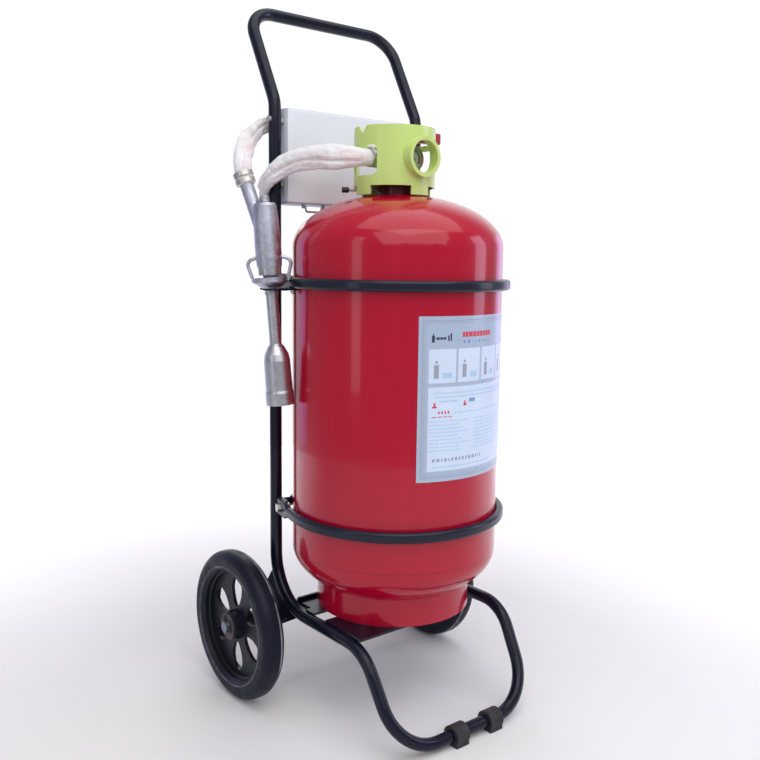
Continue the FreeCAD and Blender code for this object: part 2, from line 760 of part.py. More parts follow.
HINGE_Y = 176.0
HINGE_Z = 971.5
HINGE_R = 3.5
HINGE_PIN_R = 1.5
FIXED_KNUCKLES = ((-120.0, -80.0), (-20.0, 20.0), (80.0, 120.0))
DOOR_KNUCKLES = ((-79.6, -20.4), (20.4, 79.6))
LOOP_Y = 119.0
LOOP_Z = 822.8
LOOP_X = (-98.0, -67.0)
LOOP_LUGS = (-104.0, -64.5)
LOOP_DROP = 8.5
LOOP_R = 1.7


def hose_box():
    """A folded sheet box, open at the back, with hinge knuckles on top and two lugs underneath."""
    front, back = BOX_Y
    low, high = BOX_Z
    box = block((-BOX_HALF, front, low), (BOX_HALF, back, high))
    inner = BOX_HALF - SHEET
    box = box.cut(block((-inner, front + SHEET, low + SHEET), (inner, back + 1, high - SHEET)))
    parts = []
    for first, last in FIXED_KNUCKLES:
        parts.append(block((first, back - 1, high - SHEET), (last, HINGE_Y, high)))
        parts.append(rod(HINGE_R, V(first, HINGE_Y, HINGE_Z), V(last, HINGE_Y, HINGE_Z)))
    for x in LOOP_LUGS:
        parts.append(block((x, LOOP_Y - 3, LOOP_Z - 3.3), (x + 3.5, LOOP_Y + 3, low + 0.5)))
    box = box.fuse(parts)
    cuts = [
        rod(HOSE_R + 0.6, V(-140, HOSE_Y, HOSE_OUT_Z), V(-120, HOSE_Y, HOSE_OUT_Z)),
        rod(HOSE_R + 0.6, V(-140, HOSE_Y, HOSE_IN_Z), V(-120, HOSE_Y, HOSE_IN_Z)),
        rod(HINGE_PIN_R, V(-130, HINGE_Y, HINGE_Z), V(130, HINGE_Y, HINGE_Z)),
        rod(LOOP_R + RUN_GAP, V(-112, LOOP_Y, LOOP_Z), V(-60, LOOP_Y, LOOP_Z)),
    ]
    for z in BOX_BOLT_Z:
        cuts.append(rod(3.0, V(-140, SIDE_Y, z), V(-130, SIDE_Y, z)))
        cuts.append(rod(3.0, V(130, SIDE_Y, z), V(140, SIDE_Y, z)))
    return one(box.cut(cuts))


def box_hinge_pin():
    return rod(HINGE_PIN_R, V(-120, HINGE_Y, HINGE_Z), V(120, HINGE_Y, HINGE_Z))


def box_door():
    """The flap that closes the back of the box, hung from its top edge."""
    near = BOX_Y[1] + 0.3
    plate = block((-BOX_HALF, near, BOX_Z[0] + 1), (BOX_HALF, near + SHEET, HINGE_Z))
    parts = []
    for first, last in DOOR_KNUCKLES:
        parts.append(block((first, near + 1, HINGE_Z - 6), (last, HINGE_Y, HINGE_Z - 2)))
        parts.append(rod(HINGE_R, V(first, HINGE_Y, HINGE_Z), V(last, HINGE_Y, HINGE_Z)))
    bore = rod(HINGE_PIN_R + RUN_GAP, V(-130, HINGE_Y, HINGE_Z), V(130, HINGE_Y, HINGE_Z))
    return one(plate.fuse(parts).cut(bore))


def box_pull_loop():
    """A small wire loop that hangs from two lugs under the front edge of the box."""
    near, far = LOOP_X
    low = LOOP_Z - LOOP_DROP
    points = [V(near - 7, LOOP_Y, LOOP_Z), V(near, LOOP_Y, LOOP_Z), V(near, LOOP_Y, low)]
    points += [V(far, LOOP_Y, low), V(far, LOOP_Y, LOOP_Z), V(far + 7, LOOP_Y, LOOP_Z)]
    return bent_rod(points, [2.2, 4.0, 4.0, 2.2], LOOP_R)


def upright_core(side):
    """The straight part of an upright filled in, behind the hose box."""
    return rod(TUBE_R, V(side * SIDE_X, SIDE_Y, 700), V(side * SIDE_X, SIDE_Y, 974))


def box_bolt_hole(side, z):
    return rod(3.0, V(side * 125, SIDE_Y, z), V(side * 165, SIDE_Y, z))


def box_bolts():
    """Four bolts through the uprights and the sides of the box, with their heads outside."""
    bolts = []
    for side in (-1, 1):
        for z in BOX_BOLT_Z:
            inside = BOX_HALF - SHEET
            outside = SIDE_X + TUBE_R
            head = rod(4.8, V(side * (outside - 3), SIDE_Y, z), V(side * (outside + 2.6), SIDE_Y, z))
            head = head.cut(upright_core(side))
            shank = rod(3.0, V(side * (inside - 5), SIDE_Y, z), V(side * outside, SIDE_Y, z))
            bolts.append(joined(max(head.Solids, key=lambda s: s.Volume), shank))
    return Part.makeCompound(bolts)


def box_nuts():
    """A nut inside the box and a spacer against the upright for each bolt."""
    nuts = []
    for side in (-1, 1):
        for z in BOX_BOLT_Z:
            inner = hexagon(10, 4, V(side * (BOX_HALF - SHEET), SIDE_Y, z), ALONG_X * -side)
            spacer = hexagon(14, 7, V(side * BOX_HALF, SIDE_Y, z), ALONG_X * side)
            nuts.append(one(inner.cut(box_bolt_hole(side, z))))
            nuts.append(one(spacer.cut([upright_core(side), box_bolt_hole(side, z)])))
    return Part.makeCompound(nuts)


# ---------------------------------------------------------------- hose


def hose_path(route):
    """Straight runs and the widest tangent arcs that they allow."""
    points = [V(*p) for p in route]
    radii = []
    for before, here, after in zip(points, points[1:], points[2:]):
        turn = (here - before).getAngle(after - here)
        shorter = min((here - before).Length, (after - here).Length)
        radii.append(0.45 * shorter / math.tan(turn / 2))
    return points, radii


def hose_tube(name, route):
    points, radii = hose_path(route)
    wire = rounded_wire(points, radii)
    tube = swept(wire, HOSE_R)
    ratio = tube.Volume / (math.pi * HOSE_R ** 2 * wire.Length)
    rounded = [round(r) for r in radii]
    print(f"{name}: length {wire.Length:.1f}, arc radii {rounded}, volume ratio {ratio:.4f}")
    return tube


def hose_solid(route):
    return swept(rounded_wire(*hose_path(route)), HOSE_R)


def outlet_hose():
    tube = hose_tube("outlet_hose", OUTLET_ROUTE)
    return one(tube.cut(rod(NIPPLE_R, V(-40, 0, VALVE_Z), V(NIPPLE_END, 0, VALVE_Z))))


def gun_hose():
    tube = hose_tube("gun_hose", GUN_ROUTE)
    return one(tube.cut(rod(ARM_R, ARM_FROM, ARM_TO)))


def hose_pack():
    """The folded hose inside the box, as a block with its two ends led to the holes."""
    whole = block(*PACK)
    leads = []
    for z in (HOSE_OUT_Z, HOSE_IN_Z):
        leads.append(block((-BOX_HALF + SHEET + 2.0, HOSE_Y - 3, z - 12), (-110, HOSE_Y + 3, z + 12)))
    return joined(whole, *leads)


# ---------------------------------------------------------------- foam gun


def on_gun(shape):
    """Move a shape from the gun's own axes: +Z up its barrel, +X the side that the arms are on."""
    axis = V(GUN_LEAN).normalize()
    turn = FreeCAD.Rotation(SIDEWAYS, axis.cross(SIDEWAYS), axis, "ZXY")
    return shape.transformed(FreeCAD.Placement(GUN_AT, turn).Matrix)


def gun_turned(profile):
    return on_gun(spun(profile, V(0, 0, 0), UP))


GUN_BODY_OUTLINE = ((19.0, 20.0), (20.0, 34.0), (20.0, 54.0), (19.0, 90.0), (17.5, 112.0), (15.5, 116.0))


def gun_body_filled():
    return gun_turned([(0, 20), *GUN_BODY_OUTLINE, (0, 116)])


def gun_body():
    spindle = 4.0 + RUN_GAP
    body = gun_turned([(10, 20), *GUN_BODY_OUTLINE, (spindle, 116), (spindle, 98), (10, 98)])
    return one(body.cut(rod(ARM_R - 2.5, ARM_FROM, ARM_TO)))


def gun_inlet():
    """The side arm that leads up and back to the hose."""
    arm = pipe(ARM_R, ARM_R - 2.5, ARM_FROM, ARM_TO).cut(gun_body_filled())
    return max(arm.Solids, key=lambda s: s.CenterOfMass.z)


def gun_jet():
    return gun_turned([(4, -2), (8, -2), (12, 8), (17.6, 8), (17.6, 20), (9, 20), (4, 4)])


def gun_bell():
    """The air funnel under the jet, with a lug on each side for the arms."""
    bell = spun(
        [(26.8, 4), (26.8, -3), (10.5, -14), (10.5, -22), (9.0, -22), (9.0, -14.9), (25.3, -3.9), (25.3, 4)],
        V(0, 0, 0), UP)
    lugs = [block((26, -2.5, -2), (28.7, 2.5, 4)), block((-28.7, -2.5, -2), (-26, 2.5, 4))]
    return on_gun(joined(bell, *lugs))


def gun_arms():
    """Two bowed struts that hold the bell under the body."""
    points = [V(12, 0, 37), V(35, 0, 30), V(27.6, 0, 4)]
    right = bent_rod(points, [9.0], 2.7)
    filled = spun([(0, 20), *GUN_BODY_OUTLINE, (0, 116)], V(0, 0, 0), UP)
    above = block((-60, -20, 4), (60, 20, 60))
    arm = right.cut(filled).common(above)
    arm = max(arm.Solids, key=lambda s: s.Volume)
    return on_gun(Part.makeCompound([arm, mirrored(arm)]))


def gun_barrel():
    outer = [(9.3, -22), (9.0, -98), (13, -103), (18.5, -114)]
    outer += [(20.3, -124), (21, -170), (22, -174), (22, -193)]
    inner = [(20.5, -193), (19.5, -170), (18.8, -124), (17, -114.5), (11.5, -104), (7.5, -99), (7.8, -22)]
    return gun_turned(outer + inner)


def gun_knob():
    return gun_turned([(0, 99), (4, 99), (4, 116.4), (7.7, 116.4), (7.7, 125.4), (6.2, 127), (0, 127)])


def gun_hose_clamps():
    run = (ARM_TO - ARM_FROM).normalize()
    hose = hose_solid(GUN_ROUTE)
    rings = []
    for z in (850.0, 860.0):
        near = ARM_FROM + run * ((z - ARM_FROM.z) / run.z)
        ring = pipe(15.5, HOSE_R, near, near + run * 7).cut(hose)
        rings.append(max(ring.Solids, key=lambda s: s.Volume))
    return Part.makeCompound(rings)


def gun_cradle():
    """A slotted plate bolted under the upper hoop. The gun's bell hangs in the slot."""
    start, along, outward, _ = tail_frame()
    lean = GUN_LEAN * ((691.0 - GUN_AT.z) / GUN_LEAN.z)
    seat = GUN_AT + lean
    seat = V(seat.x, seat.y, 0)
    bolt = tail_point(8, 0, 0)
    across = (seat - bolt).normalize()
    side = V(-across.y, across.x, 0)
    base = V(0, 0, BAND_Z[1] - BAND_H / 2 - 3.0)
    up = V(0, 0, 3.0)
    big = rod(21.0, seat + base, seat + base + up)
    small = rod(7.0, bolt + base, bolt + base + up)
    narrow = side * 7
    broad = side * 20.5
    web = polygon([p + base for p in (bolt + narrow, seat + broad, seat - broad, bolt - narrow)])
    plate = big.fuse([small, web.extrude(up)])
    slot = rod(14.2, seat + base - up, seat + base + up * 2)
    throat = polygon([seat + side * 14.2 + base - up, seat + side * 14.2 + across * 40 + base - up,
                      seat - side * 14.2 + across * 40 + base - up, seat - side * 14.2 + base - up])
    hole = rod(2.5, bolt + base - up, bolt + base + up * 2)
    shell = rod(SHELL_R + 0.1, V(0, 0, base.z - 5), V(0, 0, base.z + 10))
    return one(plate.cut([slot, throat.extrude(up * 3), hole, shell]))


def cradle_bolt():
    """A machine screw down through the hoop and the cradle, with its nut."""
    top = BAND_Z[1] + BAND_H / 2
    low = BAND_Z[1] - BAND_H / 2 - 3.0
    head = rod(4.4, tail_point(8, 0, top), tail_point(8, 0, top + 3.2))
    shank = rod(2.5, tail_point(8, 0, low - 6.5), tail_point(8, 0, top))
    nut = hexagon(8, 4, tail_point(8, 0, low - 4), UP).cut(shank)
    return Part.makeCompound([joined(head, shank), one(nut)])


# ---------------------------------------------------------------- wheels


def about_axle(profile, side):
    """A solid of revolution about the axle from (radius, offset) points round the wheel's middle."""
    face = polygon([V(x, 0, r) for r, x in profile])
    solid = face.revolve(V(0, 0, 0), ALONG_X, 360)
    solid.translate(V(side * WHEEL_X, AXLE_Y, WHEEL_R))
    return solid


def tyre(side):
    half = TYRE_W / 2
    corner = TYRE_CORNER
    flat = half - corner
    bulge = corner * (1 - math.sqrt(0.5))
    edges = []
    ring = [
        (V(half, 0, TYRE_INNER_R), V(half, 0, WHEEL_R - corner),
         V(half - bulge, 0, WHEEL_R - bulge), V(flat, 0, WHEEL_R)),
        (V(flat, 0, WHEEL_R), V(-flat, 0, WHEEL_R),
         V(-half + bulge, 0, WHEEL_R - bulge), V(-half, 0, WHEEL_R - corner)),
    ]
    for a, b, mid, end in ring:
        edges.append(Part.LineSegment(a, b).toShape())
        edges.append(Part.Arc(b, mid, end).toShape())
    edges.append(Part.LineSegment(V(-half, 0, WHEEL_R - corner), V(-half, 0, TYRE_INNER_R)).toShape())
    edges.append(Part.LineSegment(V(-half, 0, TYRE_INNER_R), V(half, 0, TYRE_INNER_R)).toShape())
    solid = Part.Face(Part.Wire(edges)).revolve(V(0, 0, 0), ALONG_X, 360)
    solid.translate(V(side * WHEEL_X, AXLE_Y, WHEEL_R))
    return one(solid)


def wheel_hub(side):
    """A moulded centre: rim, hub and a flat web with six leaf-shaped windows."""
    seat = TYRE_INNER_R
    rim = about_axle([(seat, -19), (seat, 19), (95.5, 19), (91, 13), (91, -13), (95.5, -19)], side)
    dish = [(92, -5), (92, 0.5), (60, 1.5), (HUB_R - 1, 2.5), (HUB_R - 1, -3), (60, -4)]
    web = about_axle([(r, side * x) for r, x in dish], side)
    bore = AXLE_R + RUN_GAP
    boss = about_axle([(HUB_R, -HUB_HALF), (HUB_R, HUB_HALF), (bore, HUB_HALF), (bore, -HUB_HALF)], side)
    rings = about_axle([(93, side * -13), (93, side * 8), (88, side * 5), (88, side * -13)], side)
    windows = []
    for k in range(SPOKE_COUNT):
        turn = 360.0 / SPOKE_COUNT * k
        half = [(4.5, 31), (10, 39), (14.5, 50), (16, 61), (14, 72), (7.5, 81)]
        outline = [V(0, y, z) for y, z in half]
        outline += [V(0, -y, z) for y, z in reversed(half)]
        window = polygon([p - V(20, 0, 0) for p in outline]).extrude(V(40, 0, 0))
        window = window.rotated(V(0, 0, 0), ALONG_X, turn)
        window.translate(V(side * WHEEL_X, AXLE_Y, WHEEL_R))
        windows.append(window)
    return one(rim.fuse([web.cut(windows), boss, rings]))


# ---------------------------------------------------------------- all parts

NODES = {
    "handle_tube": handle_tube(),
    "side_tube_left": side_tube(-1),
    "side_tube_right": side_tube(1),
    "foot_tube": foot_tube(),
    "foot_pads": foot_pads(),
    "gussets": Part.makeCompound([gusset(-1), gusset(1)]),
    "axle_tube": axle_tube(),
    "axle_rod": axle_rod(),
    "axle_washers": axle_washers(),
    "cotter_pins": cotter_pins(),
    "front_support_plate": front_support_plate(),
    "rear_support_plate": rear_support_plate(),
    "upper_band": band(BAND_Z[1], True),
    "lower_band": band(BAND_Z[0], False),
    "backrest_bars": Part.makeCompound([backrest(z) for z in BAND_Z]),
    "band_tabs": band_tabs(),
    "band_bolts": Part.makeCompound([band_bolts(), band_nuts(), cradle_bolt()]),
    "cylinder_shell": cylinder_shell(),
    "foot_skirt": foot_skirt(),
    "neck_ring": neck_ring(),
    "label": label(),
    "siphon_tube": siphon_tube(),
    "valve_body": valve_body(),
    "valve_seals": Part.makeCompound([*ball_seats().Solids, inlet_seal()]),
    "outlet_nipple": outlet_nipple(),
    "outlet_hose_clamps": outlet_hose_clamps(),
    "gland_nut": gland_nut(),
    "valve_ball": valve_ball(),
    "valve_stem": valve_stem(),
    "lever_arm": lever_arm(),
    "lever_grip": lever_grip(),
    "lever_nut": lever_nut(),
    "gauge_case": gauge_case(),
    "gauge_dial": gauge_dial(),
    "gauge_lens": gauge_lens(),
    "gauge_needle": gauge_needle(),
    "valve_guard": valve_guard(),
    "neck_screws": guard_screws(),
    "hose_box": hose_box(),
    "box_hinge_pin": box_hinge_pin(),
    "box_door": box_door(),
    "box_pull_loop": box_pull_loop(),
    "box_bolts": Part.makeCompound([box_bolts(), box_nuts()]),
    "hose_pack": hose_pack(),
    "outlet_hose": outlet_hose(),
    "gun_hose": gun_hose(),
    "gun_body": gun_body(),
    "gun_inlet": gun_inlet(),
    "gun_jet": gun_jet(),
    "gun_bell": gun_bell(),
    "gun_arms": gun_arms(),
    "gun_barrel": gun_barrel(),
    "gun_knob": gun_knob(),
    "gun_hose_clamps": gun_hose_clamps(),
    "gun_cradle": gun_cradle(),
    "tyre_left": tyre(-1),
    "tyre_right": tyre(1),
    "wheel_hub_left": wheel_hub(-1),
    "wheel_hub_right": wheel_hub(1),
}

os.makedirs("parts", exist_ok=True)
for name, shape in NODES.items():
    shape.translate(V(0, SHIFT_Y, 0))
    if not shape.isValid():
        raise ValueError(f"{name} is not valid")
    shape.exportStep(f"parts/{name}.step")
print(f"{len(NODES)} parts, moved by {SHIFT_Y:.3f} along Y")
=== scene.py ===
import math

import bmesh
import bpy
from mathutils import Matrix, Vector, noise


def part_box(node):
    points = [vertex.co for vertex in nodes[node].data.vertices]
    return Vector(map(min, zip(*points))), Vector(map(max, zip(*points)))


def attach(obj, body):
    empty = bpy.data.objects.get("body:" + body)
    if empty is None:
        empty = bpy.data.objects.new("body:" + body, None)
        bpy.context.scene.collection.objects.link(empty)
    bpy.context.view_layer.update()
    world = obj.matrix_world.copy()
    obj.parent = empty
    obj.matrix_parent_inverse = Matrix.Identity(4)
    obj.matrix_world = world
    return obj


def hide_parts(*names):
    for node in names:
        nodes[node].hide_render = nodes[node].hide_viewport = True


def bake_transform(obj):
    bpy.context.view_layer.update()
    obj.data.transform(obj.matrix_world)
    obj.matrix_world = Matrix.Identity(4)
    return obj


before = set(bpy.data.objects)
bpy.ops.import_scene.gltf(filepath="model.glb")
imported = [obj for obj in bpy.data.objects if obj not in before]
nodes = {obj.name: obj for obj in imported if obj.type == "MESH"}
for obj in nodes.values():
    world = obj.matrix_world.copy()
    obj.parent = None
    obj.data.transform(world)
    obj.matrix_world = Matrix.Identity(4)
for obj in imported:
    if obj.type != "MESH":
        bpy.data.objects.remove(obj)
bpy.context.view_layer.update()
SHIFT = Vector((0, -0.03545, 0))      # the CAD model's own move along Y
AXLE = Vector((0, 0.1519, 0.125)) + SHIFT

CAMERA_PLACE = Vector((-0.91465, -1.09017, 0.73911)) + SHIFT
CAMERA_YAW, CAMERA_PITCH, CAMERA_ROLL = 38.96, 7.89, 0.74      # degrees; the pitch is downwards
CAMERA_LENS = 41.35
BACKWARD = (0.629, 0.777)             # level direction that runs away from the camera's side of the object
FLOOR_R = 2.0

HOSE_PORT = (-0.1328, 0.1565)         # x and y of the box holes that the hoses end in
OUTLET_PORT_Z, GUN_PORT_Z = 0.847, 0.954

# ------------------------------------------------------------------ camera, light and floor

yaw, pitch, roll = (math.radians(a) for a in (CAMERA_YAW, CAMERA_PITCH, CAMERA_ROLL))
forward = Vector((math.sin(yaw) * math.cos(pitch), math.cos(yaw) * math.cos(pitch), -math.sin(pitch)))
level = Vector((math.cos(yaw), -math.sin(yaw), 0))
above = level.cross(forward)
right = level * math.cos(roll) + above * math.sin(roll)
upward = -level * math.sin(roll) + above * math.cos(roll)
camera = bpy.data.objects.new("camera", bpy.data.cameras.new("camera"))
bpy.context.scene.collection.objects.link(camera)
camera.data.lens = CAMERA_LENS
camera.data.sensor_width = 36
camera.data.clip_start, camera.data.clip_end = 0.02, 60
axes = Matrix((right, upward, -forward)).transposed()
camera.matrix_world = Matrix.Translation(CAMERA_PLACE) @ axes.to_4x4()
bpy.context.scene.camera = camera


def lamp(name, place, target, size, power, colour=(1, 1, 1)):
    """A rectangular soft light that faces a point."""
    data = bpy.data.lights.new(name, "AREA")
    data.shape = "RECTANGLE"
    data.size, data.size_y = size
    data.energy = power
    data.color = colour
    light = bpy.data.objects.new(name, data)
    bpy.context.scene.collection.objects.link(light)
    light.location = place
    light.rotation_euler = (Vector(target) - Vector(place)).to_track_quat("-Z", "Y").to_euler()


lamp("key", (-0.9, -2.3, 2.6), (0, 0, 0.7), (4.2, 2.8), 60)
lamp("left_strip", (-2.6, -0.4, 1.2), (0, 0, 0.6), (0.5, 2.2), 5, (0.92, 0.94, 1.0))
lamp("right_fill", (2.4, -1.6, 1.3), (0, 0, 0.5), (0.9, 1.8), 16, (0.80, 0.74, 1.0))
lamp("right_rim", (2.8, 0.45, 0.6), (0, 0, 0.5), (0.9, 1.8), 7, (0.55, 0.35, 1.0))
lamp("left_rim", (-1.0, 2.7, 0.9), (0, 0, 0.5), (0.9, 2.2), 6, (0.45, 0.28, 1.0))
lamp("top_soft", (0.1, -0.5, 3.0), (0, 0, 0.5), (3.0, 2.6), 36)
lamp("back_soft", (1.2, 2.4, 2.2), (0, 0, 0.6), (1.6, 1.6), 10)

# A white wall behind the object and a dimmer room in front of it.
world = bpy.data.worlds.new("studio")
bpy.context.scene.world = world
world.use_nodes = True
sky = world.node_tree
sky_place = sky.nodes.new("ShaderNodeTexCoord")
sky_side = sky.nodes.new("ShaderNodeVectorMath")
sky_side.operation = "DOT_PRODUCT"
sky_side.inputs[1].default_value = (*BACKWARD, 0)
sky_fade = sky.nodes.new("ShaderNodeMapRange")
for socket, value in (("From Min", 0.58), ("From Max", 0.87), ("To Min", 0.36), ("To Max", 1.06)):
    sky_fade.inputs[socket].default_value = value
sky.links.new(sky_place.outputs["Generated"], sky_side.inputs[0])
sky.links.new(sky_side.outputs["Value"], sky_fade.inputs["Value"])
sky.links.new(sky_fade.outputs[0], sky.nodes["Background"].inputs["Strength"])
sky.nodes["Background"].inputs["Color"].default_value = (0.97, 0.97, 1.0, 1)
bpy.context.scene.view_settings.view_transform = "Standard"

floor_mesh = bpy.data.meshes.new("floor")
turns = [math.radians(a) for a in range(0, 360, 5)]
disc = [(FLOOR_R * math.cos(a), FLOOR_R * math.sin(a), 0) for a in turns]
floor_mesh.from_pydata(disc, [], [tuple(range(len(disc)))])
floor = bpy.data.objects.new("floor", floor_mesh)
bpy.context.scene.collection.objects.link(floor)

# ------------------------------------------------------------------ materials


class Paint:
    """A Principled material and short ways to add noise, colour and bump to it."""

    def __init__(self, name, colour, roughness, **uniform):
        self.material = bpy.data.materials.new(name)
        self.material.use_nodes = True
        self.tree = self.material.node_tree
        self.shader = self.tree.nodes["Principled BSDF"]
        self.colour = (*colour, 1.0)
        self.shader.inputs["Base Color"].default_value = self.colour
        self.shader.inputs["Roughness"].default_value = roughness
        for socket, value in uniform.items():
            self.shader.inputs[socket.replace("_", " ")].default_value = value
        self.base = None
        self.height = None

    def node(self, kind, **settings):
        """A new shader node with some of its settings changed."""
        made = self.tree.nodes.new(kind)
        for key, value in settings.items():
            setattr(made, key, value)
        return made

    def link(self, out, into):
        """Join an output to an input."""
        self.tree.links.new(out, into)
        return self

    def place(self, scale=(1, 1, 1)):
        """The surface point in the part's own frame, stretched along each axis."""
        where = self.node("ShaderNodeTexCoord")
        mapping = self.node("ShaderNodeMapping")
        mapping.inputs["Scale"].default_value = scale
        self.link(where.outputs["Object"], mapping.inputs["Vector"])
        return mapping.outputs[0]

    def axis(self, index):
        """One coordinate of the surface in the part's own frame."""
        split = self.node("ShaderNodeSeparateXYZ")
        self.link(self.place(), split.inputs[0])
        return split.outputs[index]

    def away(self, centre, first, second):
        """Distance from a line: the root of two squared coordinates about a centre."""
        squares = []
        for index, middle in zip((first, second), centre):
            side = self.math("SUBTRACT", self.axis(index), middle)
            squares.append(self.math("MULTIPLY", side, side))
        return self.math("SQRT", self.math("ADD", *squares))

    def near(self, value, middle, width, amount=1.0):
        """High where a value is close to the middle."""
        gap = self.math("ABSOLUTE", self.math("SUBTRACT", value, middle))
        return self.ramp(gap, width * 0.4, width, amount, 0.0)

    def noise(self, scale, detail=3.0, rough=0.6, stretch=(1, 1, 1)):
        """Soft random patches in metres, from 0 to 1 with most of it near 0.5."""
        made = self.node("ShaderNodeTexNoise")
        made.inputs["Scale"].default_value = scale
        made.inputs["Detail"].default_value = detail
        made.inputs["Roughness"].default_value = rough
        self.link(self.place(stretch), made.inputs["Vector"])
        return made.outputs["Fac"]

    def ramp(self, factor, low, high, out_low=0.0, out_high=1.0):
        """Carry a value's range low to high over to another range, and hold it at both ends."""
        made = self.node("ShaderNodeMapRange")
        values = (("From Min", low), ("From Max", high), ("To Min", out_low), ("To Max", out_high))
        for socket, value in values:
            made.inputs[socket].default_value = value
        self.link(factor, made.inputs["Value"])
        return made.outputs[0]

    def math(self, operation, a, b=None):
        """One sum on sockets or plain numbers."""
        made = self.node("ShaderNodeMath", operation=operation)
        for socket, value in zip(made.inputs, (a, b)):
            if value is None:
                continue
            if isinstance(value, (int, float)):
                socket.default_value = value
            else:
                self.link(value, socket)
        return made.outputs[0]

    def times(self, *factors):
        """The product of two or more values."""
        product = factors[0]
        for factor in factors[1:]:
            product = self.math("MULTIPLY", product, factor)
        return product

    def wave(self, value, pitch):
        """Ribs across a value, one every pitch."""
        return self.math("SINE", self.math("MULTIPLY", value, 2 * math.pi / pitch))

    def tint(self, factor, colour):
        """Mix the base colour towards another where the factor is high."""
        mix = self.node("ShaderNodeMix", data_type="RGBA")
        if self.base is None:
            mix.inputs[6].default_value = self.colour
        else:
            self.link(self.base, mix.inputs[6])
        mix.inputs[7].default_value = (*colour, 1.0)
        self.link(factor, mix.inputs[0])
        self.base = mix.outputs[2]
        self.link(self.base, self.shader.inputs["Base Color"])
        return self

    def rough(self, factor, low, high):
        """Vary the roughness between two values."""
        self.link(self.ramp(factor, 0.3, 0.7, low, high), self.shader.inputs["Roughness"])
        return self

    def bump(self, factor, distance, strength=1.0):
        """Add relief of a given depth in metres on top of any relief already there."""
        made = self.node("ShaderNodeBump")
        made.inputs["Distance"].default_value = distance
        made.inputs["Strength"].default_value = strength
        self.link(factor, made.inputs["Height"])
        if self.height is not None:
            self.link(self.height, made.inputs["Normal"])
        self.height = made.outputs[0]
        self.link(self.height, self.shader.inputs["Normal"])
        return self


def enamel(name, colour, roughness, dust, coat=0.5, peel=0.00001, shine=0.3):
    """Sprayed paint under a clear coat, with a trace of orange peel."""
    paint = Paint(name, colour, roughness, Coat_Weight=coat, Coat_Roughness=0.05, Specular_IOR_Level=shine)
    patches = paint.noise(9, 4)
    paint.tint(paint.ramp(patches, 0.45, 0.75, 0, 0.25), dust)
    paint.rough(paint.noise(18, 2), roughness * 0.9, roughness * 1.2)
    paint.bump(paint.noise(50, 1), peel)
    return paint


def metal(name, colour, roughness, dark, grain=(1, 1, 1), bump=0.00004, scale=260):
    """Bare metal with darker patches. grain squeezes the relief along an axis, as turning marks do."""
    paint = Paint(name, colour, roughness, Metallic=1.0)
    paint.tint(paint.ramp(paint.noise(45, 5), 0.42, 0.72, 0, 0.55), dark)
    paint.rough(paint.noise(120, 4, 0.6, grain), roughness * 0.7, roughness * 1.5)
    paint.bump(paint.noise(scale, 3, 0.6, grain), bump)
    return paint


def plastic(name, colour, roughness, dust, bump=0.00003, **uniform):
    """Moulded plastic or rubber, a little dusty."""
    paint = Paint(name, colour, roughness, **uniform)
    paint.tint(paint.ramp(paint.noise(14, 5), 0.45, 0.75, 0, 0.3), dust)
    paint.rough(paint.noise(60, 4), roughness * 0.8, roughness * 1.3)
    paint.bump(paint.noise(900, 2), bump)
    return paint


# Heights, radii and other places that a finish changes at, in metres.
WELD_Z = 0.2700                       # seam between the cylinder's wall and its bottom
BOX_LIP_SHADE_Z = (0.8300, 0.8270)          # the painted shade on the hose box's lower lip fades in over this
BOX_TOP_Z = 0.9725
KNURL_Z = (0.8195, 0.8205)            # the gun's knob is knurled above this
KNURL_PITCH = 0.0022
SCREW_HEAD_R = (0.0795, 0.0785)       # from the cylinder's axis: black head outside, bare shank inside
TYRE_LIP_R = 0.0998
TYRE_SHOULDER_X = 0.2039
TYRE_SHOULDER_R = (0.119, 0.121)
TYRE_RIB_R, TYRE_RIB_PITCH = 0.108, 0.0031
WEAVE_PITCH, WEAVE_COUNT = 0.0022, 44

red = enamel("cylinder_red", (0.42, 0.0015, 0.024), 0.2, (0.38, 0.002, 0.03), 0.5, 0.000012, 0.2)
drips = red.noise(14, 3, 0.6, (6, 6, 0.35))
red.tint(red.ramp(drips, 0.50, 0.80, 0, 0.35), (0.50, 0.008, 0.03))
red.tint(red.near(red.axis(2), WELD_Z, 0.0016, 0.5), (0.20, 0.002, 0.02))

black = enamel("frame_black", (0.005, 0.006, 0.018), 0.24, (0.010, 0.012, 0.030), 0.2, 0.00001, 0.18)
band_black = enamel("band_black", (0.008, 0.010, 0.024), 0.3, (0.018, 0.022, 0.038), 0.2, 0.00002, 0.22)
white = enamel("box_white", (0.77, 0.81, 0.88), 0.42, (0.75, 0.78, 0.86), 0.1, 0.000004)
box_z = white.axis(2)
# Painted shade: a dark purple band along the box's lower lip.
white.tint(white.ramp(box_z, *BOX_LIP_SHADE_Z, 0.0, 0.75), (0.10, 0.09, 0.22))
# Painted highlight: a near-white line along the box's top edge.
white.tint(white.near(box_z, BOX_TOP_Z, 0.0012, 0.6), (0.95, 0.96, 1.0))

